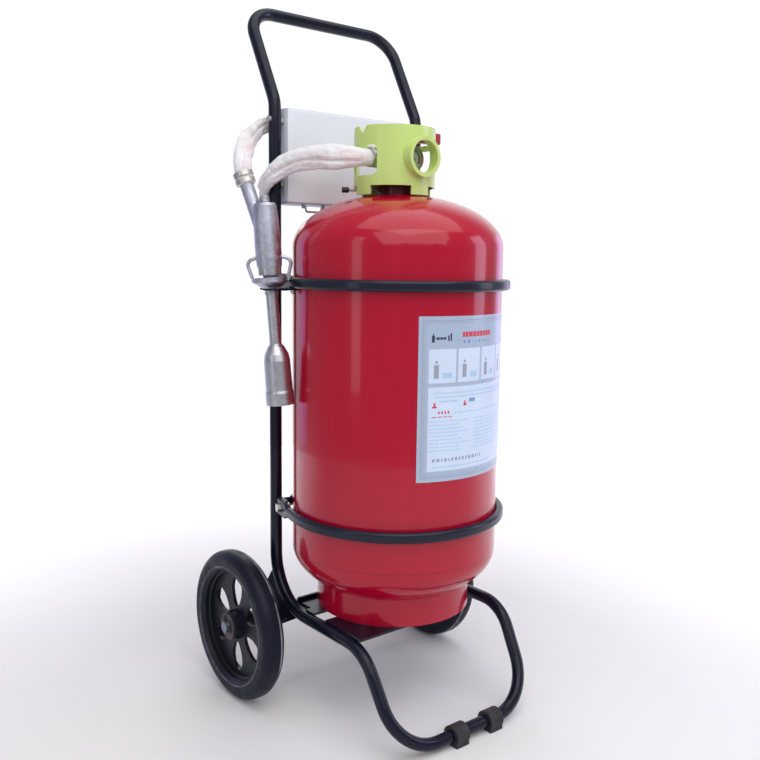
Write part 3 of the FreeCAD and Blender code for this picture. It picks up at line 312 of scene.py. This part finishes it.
lime = plastic("guard_lime", (0.56, 0.71, 0.21), 0.34, (0.49, 0.64, 0.17), 0.00003,
               Subsurface_Weight=0.12, Subsurface_Radius=(0.004, 0.004, 0.002), Coat_Weight=0.2)
cast = metal("gun_grey", (0.52, 0.53, 0.62), 0.40, (0.28, 0.29, 0.34), bump=0.00010, scale=330)
turned = metal("gun_turned", (0.55, 0.56, 0.60), 0.32, (0.38, 0.38, 0.44), (1, 1, 12), 0.00003)
turned_z = turned.axis(2)
turned.bump(turned.times(turned.wave(turned_z, KNURL_PITCH), turned.ramp(turned_z, *KNURL_Z)), 0.0004)
zinc = metal("zinc_steel", (0.55, 0.55, 0.53), 0.33, (0.34, 0.33, 0.29))
bright = metal("bare_steel", (0.62, 0.62, 0.62), 0.24, (0.45, 0.44, 0.43), (12, 1, 1))
dull = metal("dull_steel", (0.13, 0.12, 0.13), 0.5, (0.06, 0.05, 0.05))
blued = metal("blued_steel", (0.26, 0.28, 0.36), 0.4, (0.14, 0.14, 0.18))
# Painted shade: the neck ring is a darkened copy of the cylinder's red, for the shadow under the guard.
shade = enamel("neck_red_painted_shade", (0.13, 0.008, 0.010), 0.35, (0.09, 0.01, 0.01), 0.2)
brass = metal("valve_brass", (0.66, 0.47, 0.22), 0.3, (0.36, 0.25, 0.12), bump=0.00007)
rubber = plastic("pad_rubber", (0.014, 0.014, 0.016), 0.6, (0.06, 0.055, 0.05), 0.00012)
hub_black = plastic("hub_black", (0.008, 0.009, 0.016), 0.38, (0.024, 0.025, 0.036), 0.00005,
                    Specular_IOR_Level=0.25)
knob = plastic("knob_black", (0.012, 0.012, 0.014), 0.25, (0.04, 0.04, 0.04), 0.00002)
knob.tint(knob.ramp(knob.away((0, SHIFT.y), 0, 1), *SCREW_HEAD_R), (0.55, 0.55, 0.53))
lever_red = plastic("lever_red", (0.32, 0.008, 0.012), 0.3, (0.2, 0.006, 0.01), 0.00003, Coat_Weight=0.3)
seal = plastic("seal_white", (0.8, 0.8, 0.76), 0.4, (0.7, 0.7, 0.62))
dial = plastic("dial_white", (0.86, 0.86, 0.83), 0.45, (0.8, 0.8, 0.74), 0.00001)

# Arcs on the gauge's face, as parts of its radius: (radius, width, lowest height, colour).
dial_low, dial_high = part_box("gauge_dial")
dial_mid, dial_r = (dial_low + dial_high) / 2, (dial_high.z - dial_low.z) / 2
dial_flat = dial.away((dial_mid.x, dial_mid.y), 0, 1)
dial_up = dial.math("SUBTRACT", dial.axis(2), dial_mid.z)
dial_squares = dial.math("ADD", dial.times(dial_flat, dial_flat), dial.times(dial_up, dial_up))
dial_out = dial.math("SQRT", dial_squares)
for radius, width, height, colour in (
    (0.80, 0.16, -0.45, (0.50, 0.04, 0.03)),
    (0.80, 0.16, 0.20, (0.04, 0.30, 0.07)),
    (0.64, 0.04, -0.45, (0.02, 0.02, 0.02)),
):
    arc = dial.near(dial_out, radius * dial_r, width * dial_r)
    dial.tint(dial.times(arc, dial.ramp(dial_up, height * dial_r, (height + 0.04) * dial_r)), colour)

needle = plastic("needle_black", (0.02, 0.02, 0.02), 0.4, (0.05, 0.05, 0.05))
lens = Paint("lens_clear", (0.95, 0.98, 0.98), 0.03, Transmission_Weight=0.95, IOR=1.49)
lens.rough(lens.noise(40), 0.02, 0.07)
paper = plastic("label_pale", (0.40, 0.49, 0.64), 0.3, (0.36, 0.45, 0.61), 0.00002, Coat_Weight=0.25)

tyre = Paint("tyre_black", (0.006, 0.007, 0.019), 0.42, Specular_IOR_Level=0.2)
tyre.tint(tyre.ramp(tyre.noise(11, 6), 0.5, 0.8, 0, 0.3), (0.020, 0.022, 0.045))
tyre.tint(tyre.ramp(tyre.noise(70, 5), 0.62, 0.80, 0, 0.25), (0.05, 0.05, 0.06))
from_axle = tyre.away((AXLE.y, AXLE.z), 1, 2)
wear_and_highlight_breakup = tyre.ramp(tyre.noise(38, 5), 0.35, 0.6, 0.15, 1.0)
# Light bluish line on the rim lip: partly wear, partly painted highlight.
tyre.tint(tyre.times(tyre.near(from_axle, TYRE_LIP_R, 0.0011, 0.8), wear_and_highlight_breakup), (0.26, 0.26, 0.40))
# Light line on the tread shoulder: partly wear, partly painted highlight.
shoulder = tyre.near(tyre.math("ABSOLUTE", tyre.axis(0)), TYRE_SHOULDER_X, 0.0022, 0.9)
tyre.tint(tyre.times(shoulder, wear_and_highlight_breakup, tyre.ramp(from_axle, *TYRE_SHOULDER_R)), (0.34, 0.34, 0.40))
ribs = tyre.wave(from_axle, TYRE_RIB_PITCH)
tyre.bump(tyre.times(ribs, tyre.near(from_axle, TYRE_RIB_R, 0.006)), 0.0001)
tyre.rough(tyre.noise(35, 5), 0.3, 0.6)
tyre.bump(tyre.noise(260, 4), 0.0001)

# Woven canvas. The UV runs in metres along a hose and once round it, with a pair of faint lines woven in.
canvas = Paint("hose_canvas", (0.86, 0.855, 0.87), 0.75, Sheen_Weight=0.2)
uv = canvas.node("ShaderNodeUVMap")
split = canvas.node("ShaderNodeSeparateXYZ")
canvas.link(uv.outputs[0], split.inputs[0])
along, around = split.outputs[0], split.outputs[1]
weave = canvas.times(canvas.wave(along, WEAVE_PITCH), canvas.wave(around, 1 / WEAVE_COUNT))
canvas.tint(canvas.ramp(weave, 0.1, 0.9, 0, 0.14), (0.52, 0.49, 0.50))
canvas.tint(canvas.ramp(canvas.noise(55, 5), 0.5, 0.75, 0, 0.45), (0.56, 0.52, 0.53))
# Painted shade: a pink shade along the crease of the flat hose, broken up by noise.
crease_shade = canvas.times(canvas.ramp(canvas.noise(26, 3), 0.42, 0.62), canvas.near(around, 0.47, 0.14, 0.26))
canvas.tint(crease_shade, (0.66, 0.34, 0.36))
stripe = canvas.ramp(canvas.noise(60, 3), 0.3, 0.5, 0.35, 1.0)
canvas.tint(canvas.times(canvas.near(around, 0.462, 0.012, 0.3), stripe), (0.62, 0.14, 0.18))
canvas.tint(canvas.times(canvas.near(around, 0.492, 0.008, 0.22), stripe), (0.66, 0.22, 0.26))
canvas.bump(weave, 0.0003, 0.7)
canvas.bump(canvas.noise(120, 4), 0.0005)

ground = Paint("floor_pale", (0.80, 0.80, 0.80), 0.8, Specular_IOR_Level=0.1)
ground.tint(ground.ramp(ground.noise(3, 3), 0.4, 0.7, 0, 0.1), (0.77, 0.77, 0.77))
# The floor glows more towards its far edge behind the object: painted light that fades it into the white
# wall.
parts = [ground.times(ground.axis(index), BACKWARD[index]) for index in (0, 1)]
behind = ground.ramp(ground.math("ADD", *parts), -0.3, 0.4)
outwards = ground.ramp(ground.away((0, 0), 0, 1), 0.5, FLOOR_R, 0.0, 0.85)
ground.shader.inputs["Emission Color"].default_value = (0.97, 0.97, 1.0, 1)
ground.link(ground.times(outwards, behind), ground.shader.inputs["Emission Strength"])
floor.data.materials.append(ground.material)

INK_COLOURS = {
    "ink_dark": (0.03, 0.04, 0.08), "ink_blue": (0.10, 0.24, 0.50), "ink_sky": (0.42, 0.60, 0.82),
    "ink_red": (0.62, 0.05, 0.10), "ink_grey": (0.33, 0.35, 0.44), "ink_pale": (0.62, 0.73, 0.90),
}
ink = {name: plastic(name, colour, 0.35, tuple(c * 1.25 for c in colour), 0.00001)
       for name, colour in INK_COLOURS.items()}

FINISH = {
    black: ("handle_tube", "side_tube_left", "side_tube_right", "foot_tube", "gussets", "axle_tube",
            "front_support_plate", "rear_support_plate", "backrest_bars", "gun_cradle"),
    band_black: ("upper_band", "lower_band", "band_tabs"),
    red: ("cylinder_shell", "foot_skirt"),
    shade: ("neck_ring",),
    dull: ("axle_washers", "cotter_pins"),
    blued: ("axle_rod",),
    white: ("hose_box", "box_door"),
    lime: ("valve_guard",),
    cast: ("gun_body", "gun_inlet", "gun_bell", "gun_arms"),
    turned: ("gun_jet", "gun_barrel", "gun_knob"),
    zinc: ("band_bolts", "outlet_hose_clamps", "lever_arm", "lever_nut", "box_pull_loop", "box_bolts",
           "gun_hose_clamps"),
    bright: ("siphon_tube", "valve_ball", "valve_stem", "box_hinge_pin"),
    brass: ("valve_body", "outlet_nipple", "gland_nut", "gauge_case"),
    rubber: ("foot_pads",),
    tyre: ("tyre_left", "tyre_right"),
    hub_black: ("wheel_hub_left", "wheel_hub_right"),
    knob: ("neck_screws",),
    lever_red: ("lever_grip",),
    seal: ("valve_seals",),
    dial: ("gauge_dial",),
    needle: ("gauge_needle",),
    lens: ("gauge_lens",),
    paper: ("label",),
    canvas: ("hose_pack", "outlet_hose", "gun_hose"),
}
for paint, names in FINISH.items():
    for name in names:
        mesh = nodes[name].data
        if not mesh.materials:
            mesh.materials.append(None)
        for i in range(len(mesh.materials)):
            mesh.materials[i] = paint.material

# ------------------------------------------------------------------ hoses

OUTLET_ROUTE = (
    (-0.042, 0.0, 0.895), (-0.072, 0.0, 0.894), (-0.100, 0.016, 0.894), (-0.122, 0.042, 0.894),
    (-0.141, 0.072, 0.891), (-0.157, 0.095, 0.882), (-0.168, 0.114, 0.866), (-0.168, 0.138, 0.851),
    (-0.154, 0.1565, 0.847), (*HOSE_PORT, OUTLET_PORT_Z),
)
GUN_ROUTE = (
    (*HOSE_PORT, GUN_PORT_Z), (-0.154, 0.1565, 0.951), (-0.1775, 0.1425, 0.936),
    (-0.1985, 0.1285, 0.919), (-0.2168, 0.1152, 0.899), (-0.2248, 0.1041, 0.875),
    (-0.22141, 0.09686, 0.8487),
)


def centreline(route, resolution=24):
    """Points read from a smooth NURBS curve whose control points are the route."""
    data = bpy.data.curves.new("route", "CURVE")
    data.dimensions = "3D"
    line = data.splines.new("NURBS")
    line.points.add(len(route) - 1)
    for point, co in zip(line.points, route):
        point.co = (*(Vector(co) + SHIFT), 1.0)
    line.order_u = 3
    line.use_endpoint_u = True
    line.resolution_u = resolution
    thing = bpy.data.objects.new("route", data)
    bpy.context.scene.collection.objects.link(thing)
    mesh = bpy.data.meshes.new_from_object(thing)
    points = [v.co.copy() for v in mesh.vertices]
    bpy.data.objects.remove(thing)
    return points


def lookup(table, t):
    """Smooth interpolation in a table of (t, value...) rows."""
    for a, b in zip(table, table[1:]):
        if t <= b[0]:
            f = max(0.0, (t - a[0]) / (b[0] - a[0]))
            f = f * f * (3 - 2 * f)
            return [p + (q - p) * f for p, q in zip(a[1:], b[1:])]
    return list(table[-1][1:])


CREASE_WIDTH = 0.13                   # as a part of the hose's half width


def flat_hose(name, route, shape, seed, sides=64):
    """A canvas hose that lies flat between its round ends, with creases where it turns.

    A shape row holds t, the half width and half thickness, the x, y and z of the wide axis, the size of
    the wrinkles, how square the section stands to the route, and the place and depth of a crease.
    """
    points = centreline(route)
    lengths = [0.0]
    for a, b in zip(points, points[1:]):
        lengths.append(lengths[-1] + (b - a).length)
    total = lengths[-1]
    bm = bmesh.new()
    layer = bm.loops.layers.uv.new("UVMap")
    rings = []
    for i, centre in enumerate(points):
        t = lengths[i] / total
        ahead = (points[min(i + 1, len(points) - 1)] - points[max(i - 1, 0)]).normalized()
        wide, thin, x, y, z, crumple, square, fold, depth = lookup(shape, t)
        broad = Vector((x, y, z)).normalized()
        broad = (broad - ahead * broad.dot(ahead) * square).normalized()
        side = ahead.cross(broad).normalized()
        ring = []
        for k in range(sides):
            a = 2 * math.pi * k / sides
            c, s = math.cos(a), math.sin(a)
            flatness = 1 - min(1.0, thin / wide)
            u = math.copysign(abs(c) ** (1 - 0.25 * flatness), c) * wide
            v = math.copysign(abs(s) ** (1 + 0.15 * flatness), s) * thin
            v *= 1 - depth * math.exp(-((u / wide - fold) / CREASE_WIDTH) ** 2)
            place = centre + broad * u + side * v
            # Coarse wrinkles and then fine ones.
            rumple = noise.noise(Vector((lengths[i] * 95, 2.1 * c + seed, 2.1 * s))) * 0.0022 * crumple
            rumple += noise.noise(Vector((lengths[i] * 240, 4.2 * c, 4.2 * s + seed))) * 0.0009 * crumple
            place += (broad * c * 0.4 + side * s) * rumple
            ring.append(bm.verts.new(place))
        rings.append(ring)
    for i in range(len(rings) - 1):
        for k in range(sides):
            corners = ((i, k), (i, k + 1), (i + 1, k + 1), (i + 1, k))
            face = bm.faces.new([rings[row][col % sides] for row, col in corners])
            for loop, (row, col) in zip(face.loops, corners):
                loop[layer].uv = (lengths[row], (k / sides + 0.75) % 1.0 + (col - k) / sides)
            face.smooth = True
    for ring, flip in ((rings[0], True), (rings[-1], False)):
        cap = bm.faces.new(list(reversed(ring)) if flip else ring)
        cap.smooth = False
    bmesh.ops.recalc_face_normals(bm, faces=bm.faces)
    mesh = bpy.data.meshes.new(name)
    bm.to_mesh(mesh)
    bm.free()
    mesh.materials.append(canvas.material)
    thing = bpy.data.objects.new(name, mesh)
    bpy.context.scene.collection.objects.link(thing)
    print(f"{name}: {total:.4f} m")
    return thing, points, total


outlet, outlet_path, outlet_length = flat_hose(
    "outlet_hose_canvas", OUTLET_ROUTE,
    (
        (0.00, 0.0131, 0.0131, 0, 0.1, 1, 0.0, 1, -0.5, 0.0),
        (0.11, 0.0134, 0.0131, 0, 0.1, 1, 0.2, 1, -0.55, 0.0),
        (0.20, 0.0168, 0.0118, 0, 0.1, 1, 0.9, 1, -0.5, 0.3),
        (0.28, 0.0198, 0.0105, 0, 0, 1, 1.0, 1, -0.35, 0.55),
        (0.42, 0.0182, 0.0100, 0, -0.1, 1, 0.9, 1, -0.12, 0.6),
        (0.58, 0.0168, 0.0095, 0, -0.15, 1, 0.9, 1, -0.15, 0.6),
        (0.72, 0.0158, 0.0090, 0.2, -0.1, 1, 1.2, 1, -0.25, 0.5),
        (0.88, 0.0148, 0.0085, 0, 0, 1, 1.0, 1, -0.3, 0.3),
        (1.00, 0.0128, 0.0100, 0, 0, 1, 0.4, 1, -0.3, 0.1),
    ),
    3.0,
)
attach(outlet, "trolley")
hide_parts("outlet_hose")

gun_line, gun_path, gun_length = flat_hose(
    "gun_hose_canvas", GUN_ROUTE,
    (
        (0.00, 0.0118, 0.0095, 0, 0, 1, 0.3, 1, 0.2, 0.1),
        (0.20, 0.0128, 0.0065, 0, 0, 1, 0.7, 1, 0.2, 0.3),
        (0.42, 0.0160, 0.0050, -0.1, 0.08, 1, 0.7, 0.7, 0.1, 0.4),
        (0.54, 0.0200, 0.0036, -0.34, 0.275, 0.9, 0.2, 0.05, 0, 0.1),
        (0.58, 0.0196, 0.0016, -0.38, 0.31, 0.87, 0.1, 0.05, 0, 0.1),
        (0.63, 0.0152, 0.0050, -0.6, 0.485, 0.63, 0.4, 0.3, -0.1, 0.3),
        (0.74, 0.0138, 0.0095, -0.778, 0.629, 0.05, 0.6, 1, -0.2, 0.2),
        (0.87, 0.0137, 0.0128, -0.778, 0.629, 0, 0.3, 1, 0, 0.0),
        (1.00, 0.0131, 0.0131, -0.778, 0.629, 0, 0.0, 1, 0, 0.0),
    ),
    9.0,
)
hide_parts("gun_hose")
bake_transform(gun_line)

# ------------------------------------------------------------------ folded hose in the box

PACK_LAYERS = 22
LAYER_STEPS, BEND_STEPS, LEAD_STEPS = 14, 6, 8
PACK_PITCH = 0.0052                   # height of one folded layer
PACK_LOW = 0.8300
PACK_REACH = 0.103                    # half length of a layer before its bend
PACK_Y = 0.1425
PACK_WIDE, PACK_THIN = 0.0172, 0.0020
LEAD_WIDE, LEAD_THIN = 0.0118, 0.0028
LEAD_LONG, LEAD_SHIFT = 0.036, 0.004  # how far a lead runs in from its hole, and towards the front
LEAD_X = HOSE_PORT[0] - 0.0002


def strip(bm, layer, rows, wide, thin, sides=20):
    """A flat closed tube through rows of (centre, wide direction)."""
    rings = []
    run = 0.0
    for i, (centre, broad) in enumerate(rows):
        ahead = (rows[min(i + 1, len(rows) - 1)][0] - rows[max(i - 1, 0)][0]).normalized()
        side = ahead.cross(broad).normalized()
        if i:
            run += (centre - rows[i - 1][0]).length
        ring = []
        for k in range(sides):
            a = 2 * math.pi * k / sides
            u = math.copysign(abs(math.cos(a)) ** 0.7, math.cos(a)) * wide
            ring.append(bm.verts.new(centre + broad * u + side * math.sin(a) * thin))
        rings.append((ring, run))
    for (first, near), (second, far) in zip(rings, rings[1:]):
        for k in range(sides):
            face = bm.faces.new((first[k], first[(k + 1) % sides], second[(k + 1) % sides], second[k]))
            corners = ((near, k), (near, k + 1), (far, k + 1), (far, k))
            for loop, (reached, col) in zip(face.loops, corners):
                loop[layer].uv = (reached, col / sides)
            face.smooth = True
    bm.faces.new(list(reversed(rings[0][0])))
    bm.faces.new(rings[-1][0])


def layer_reach(i):
    """The half length of layer i of the folded hose, a little different for each."""
    return PACK_REACH + noise.noise(Vector((i * 5.3, 2.1, 0))) * 0.008


def folded_hose():
    """The spare hose laid to and fro in the box in flat layers, and the leads to the box's two holes."""
    bm = bmesh.new()
    layer = bm.loops.layers.uv.new("UVMap")
    rows = []
    bend = PACK_PITCH / 2
    for i in range(PACK_LAYERS):
        way = 1 if i % 2 == 0 else -1
        z = PACK_LOW + i * PACK_PITCH
        y = PACK_Y + noise.noise(Vector((i * 3.7, 0.4, 0))) * 0.0035
        last = layer_reach(i - 1) if i else PACK_REACH
        reach = layer_reach(i)
        for k in range(LAYER_STEPS + 1):
            x = way * (-last + (reach + last) * k / LAYER_STEPS)
            sag = noise.noise(Vector((x * 22, i * 0.31, 5.0))) * 0.0006
            rows.append((Vector((x, y, z + sag)) + SHIFT, Vector((0, 1, 0))))
        if i < PACK_LAYERS - 1:
            for k in range(1, BEND_STEPS):
                a = math.pi * (k / BEND_STEPS - 0.5)
                place = Vector((way * (reach + bend * math.cos(a)), y, z + bend + bend * math.sin(a)))
                rows.append((place + SHIFT, Vector((0, 1, 0))))
    strip(bm, layer, rows, PACK_WIDE, PACK_THIN)
    for z in (OUTLET_ROUTE[-1][2], GUN_ROUTE[0][2]):
        lean = min(z, PACK_LOW + (PACK_LAYERS - 2) * PACK_PITCH)
        lead = []
        for k in range(LEAD_STEPS + 1):
            f = k / LEAD_STEPS
            ease = f * f * (3 - 2 * f)
            x, y = LEAD_X + LEAD_LONG * f, HOSE_PORT[1] - LEAD_SHIFT * ease
            lead.append((Vector((x, y, z + (lean - z) * ease)) + SHIFT, Vector((0, 0, 1))))
        strip(bm, layer, lead, LEAD_WIDE, LEAD_THIN)
    bmesh.ops.recalc_face_normals(bm, faces=bm.faces)
    mesh = bpy.data.meshes.new("hose_pack_canvas")
    bm.to_mesh(mesh)
    bm.free()
    mesh.materials.append(canvas.material)
    thing = bpy.data.objects.new("hose_pack_canvas", mesh)
    bpy.context.scene.collection.objects.link(thing)
    return thing


pack = folded_hose()
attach(pack, "trolley")
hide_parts("hose_pack")

# ------------------------------------------------------------------ label print

label_low, label_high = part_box("label")
LABEL_R = 0.1692
LABEL_FIRST, LABEL_LAST = 241.0, 315.0           # degrees round the cylinder
LABEL_STEP = 0.006                    # longest face along the curve
PANEL_LIFT, INK_LIFT = 0.00008, 0.00016
LABEL_W = math.radians(LABEL_LAST - LABEL_FIRST) * LABEL_R
LABEL_H = label_high.z - label_low.z


def printed(name, patches):
    """Thin ink patches on the label, as (colour, left, right, bottom, top) from its lower left corner."""
    bm = bmesh.new()
    names = sorted({p[0] for p in patches})
    for colour, left, right, bottom, top in patches:
        count = max(1, int((right - left) / LABEL_STEP) + 1)
        radius = LABEL_R + (PANEL_LIFT if colour == "ink_pale" else INK_LIFT)
        rows = []
        for i in range(count + 1):
            angle = math.radians(LABEL_FIRST) + (left + (right - left) * i / count) / LABEL_R
            x, y = radius * math.cos(angle), radius * math.sin(angle) + SHIFT.y
            rows.append([bm.verts.new((x, y, label_low.z + height)) for height in (bottom, top)])
        for (a, b), (c, d) in zip(rows, rows[1:]):
            face = bm.faces.new((a, c, d, b))
            face.material_index = names.index(colour)
    mesh = bpy.data.meshes.new(name)
    bm.to_mesh(mesh)
    bm.free()
    for colour in names:
        mesh.materials.append(ink[colour].material)
    thing = bpy.data.objects.new(name, mesh)
    bpy.context.scene.collection.objects.link(thing)
    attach(thing, "trolley")
    return thing


def frame_lines(colour, inset, width):
    """The four sides of a frame that runs round the label inside its edge."""
    left, right, low, high = inset, LABEL_W - inset, inset, LABEL_H - inset
    return [
        (colour, left, right, low, low + width), (colour, left, right, high - width, high),
        (colour, left, left + width, low, high), (colour, right - width, right, low, high),
    ]


def text_bars(colour, left, right, bottom, height, seed, word=0.007, gap=0.0016):
    """A row of short bars that stands for a line of print. Their lengths run through a fixed sequence."""
    bars = []
    x = left
    step = seed
    while x < right - 0.003:
        step = (step * 37 + 11) % 101
        wide = min(word * (0.35 + step / 101), right - x)
        bars.append((colour, x, x + wide, bottom, bottom + height))
        x += wide + gap
    return bars


art = frame_lines("ink_grey", 0.0058, 0.0011) + frame_lines("ink_grey", 0.0095, 0.0006)

# Heading: a small picture, a short line and the two coloured title lines.
top = LABEL_H - 0.028
art += [("ink_dark", 0.020, 0.0245, top - 0.010, top), ("ink_dark", 0.0215, 0.023, top, top + 0.003)]
art += text_bars("ink_dark", 0.027, 0.043, top - 0.006, 0.0035, 5, 0.004, 0.0009)
art += [
    ("ink_dark", 0.046, 0.0485, top - 0.008, top),
    ("ink_dark", 0.050, 0.0525, top - 0.008, top + 0.003),
    ("ink_grey", 0.056, 0.068, top - 0.007, top - 0.0063),
]
art += text_bars("ink_red", 0.072, 0.140, top - 0.003, 0.0075, 17, 0.006, 0.0011)
art += text_bars("ink_blue", 0.074, 0.140, top - 0.012, 0.004, 23, 0.003, 0.006)

# Four instruction panels in a row.
for column in range(4):
    x = 0.016 + column * 0.049
    art += [
        ("ink_pale", x, x + 0.045, LABEL_H - 0.098, LABEL_H - 0.048),
        ("ink_grey", x + 0.008, x + 0.016, LABEL_H - 0.091, LABEL_H - 0.071),
        ("ink_grey", x + 0.010, x + 0.014, LABEL_H - 0.069, LABEL_H - 0.065),
        ("ink_sky", x + 0.022 + 0.002 * column, x + 0.038, LABEL_H - 0.091, LABEL_H - 0.083),
    ]

# The large lower panel: a caution line with its signs, then two columns of small print.
art.append(("ink_pale", 0.016, LABEL_W - 0.016, 0.016, LABEL_H - 0.104))
for row in range(2):
    art += text_bars("ink_sky", 0.026, 0.190, LABEL_H - 0.114 - row * 0.006, 0.0022, 31 + row)
art += [
    ("ink_red", 0.022, 0.030, LABEL_H - 0.135, LABEL_H - 0.1325),
    ("ink_red", 0.0245, 0.0275, LABEL_H - 0.1325, LABEL_H - 0.127),
]
art += text_bars("ink_sky", 0.034, 0.066, LABEL_H - 0.127, 0.003, 41)
art += [
    ("ink_red", 0.078, 0.0805, LABEL_H - 0.134, LABEL_H - 0.126),
    ("ink_red", 0.0765, 0.082, LABEL_H - 0.134, LABEL_H - 0.130),
]
art += text_bars("ink_blue", 0.088, 0.104, LABEL_H - 0.129, 0.0055, 47, 0.005, 0.001)
art += text_bars("ink_red", 0.032, 0.052, LABEL_H - 0.144, 0.0042, 53, 0.003, 0.0028)
art += text_bars("ink_red", 0.022, 0.056, LABEL_H - 0.149, 0.0012, 59)
art += text_bars("ink_sky", 0.060, 0.190, LABEL_H - 0.144, 0.0018, 61)
for row in range(9):
    y = LABEL_H - 0.156 - row * 0.0055
    art += text_bars("ink_sky", 0.018, 0.088 - 0.010 * ((row * 5) % 3), y, 0.0016, 67 + row)
    art += text_bars("ink_sky", 0.100, 0.196 - 0.012 * ((row * 7) % 3), y, 0.0016, 83 + row)
art += text_bars("ink_grey", 0.024, 0.120, 0.030, 0.005, 97, 0.004, 0.003)
art += text_bars("ink_sky", 0.024, 0.150, 0.021, 0.002, 29)
printed("label_print", art)
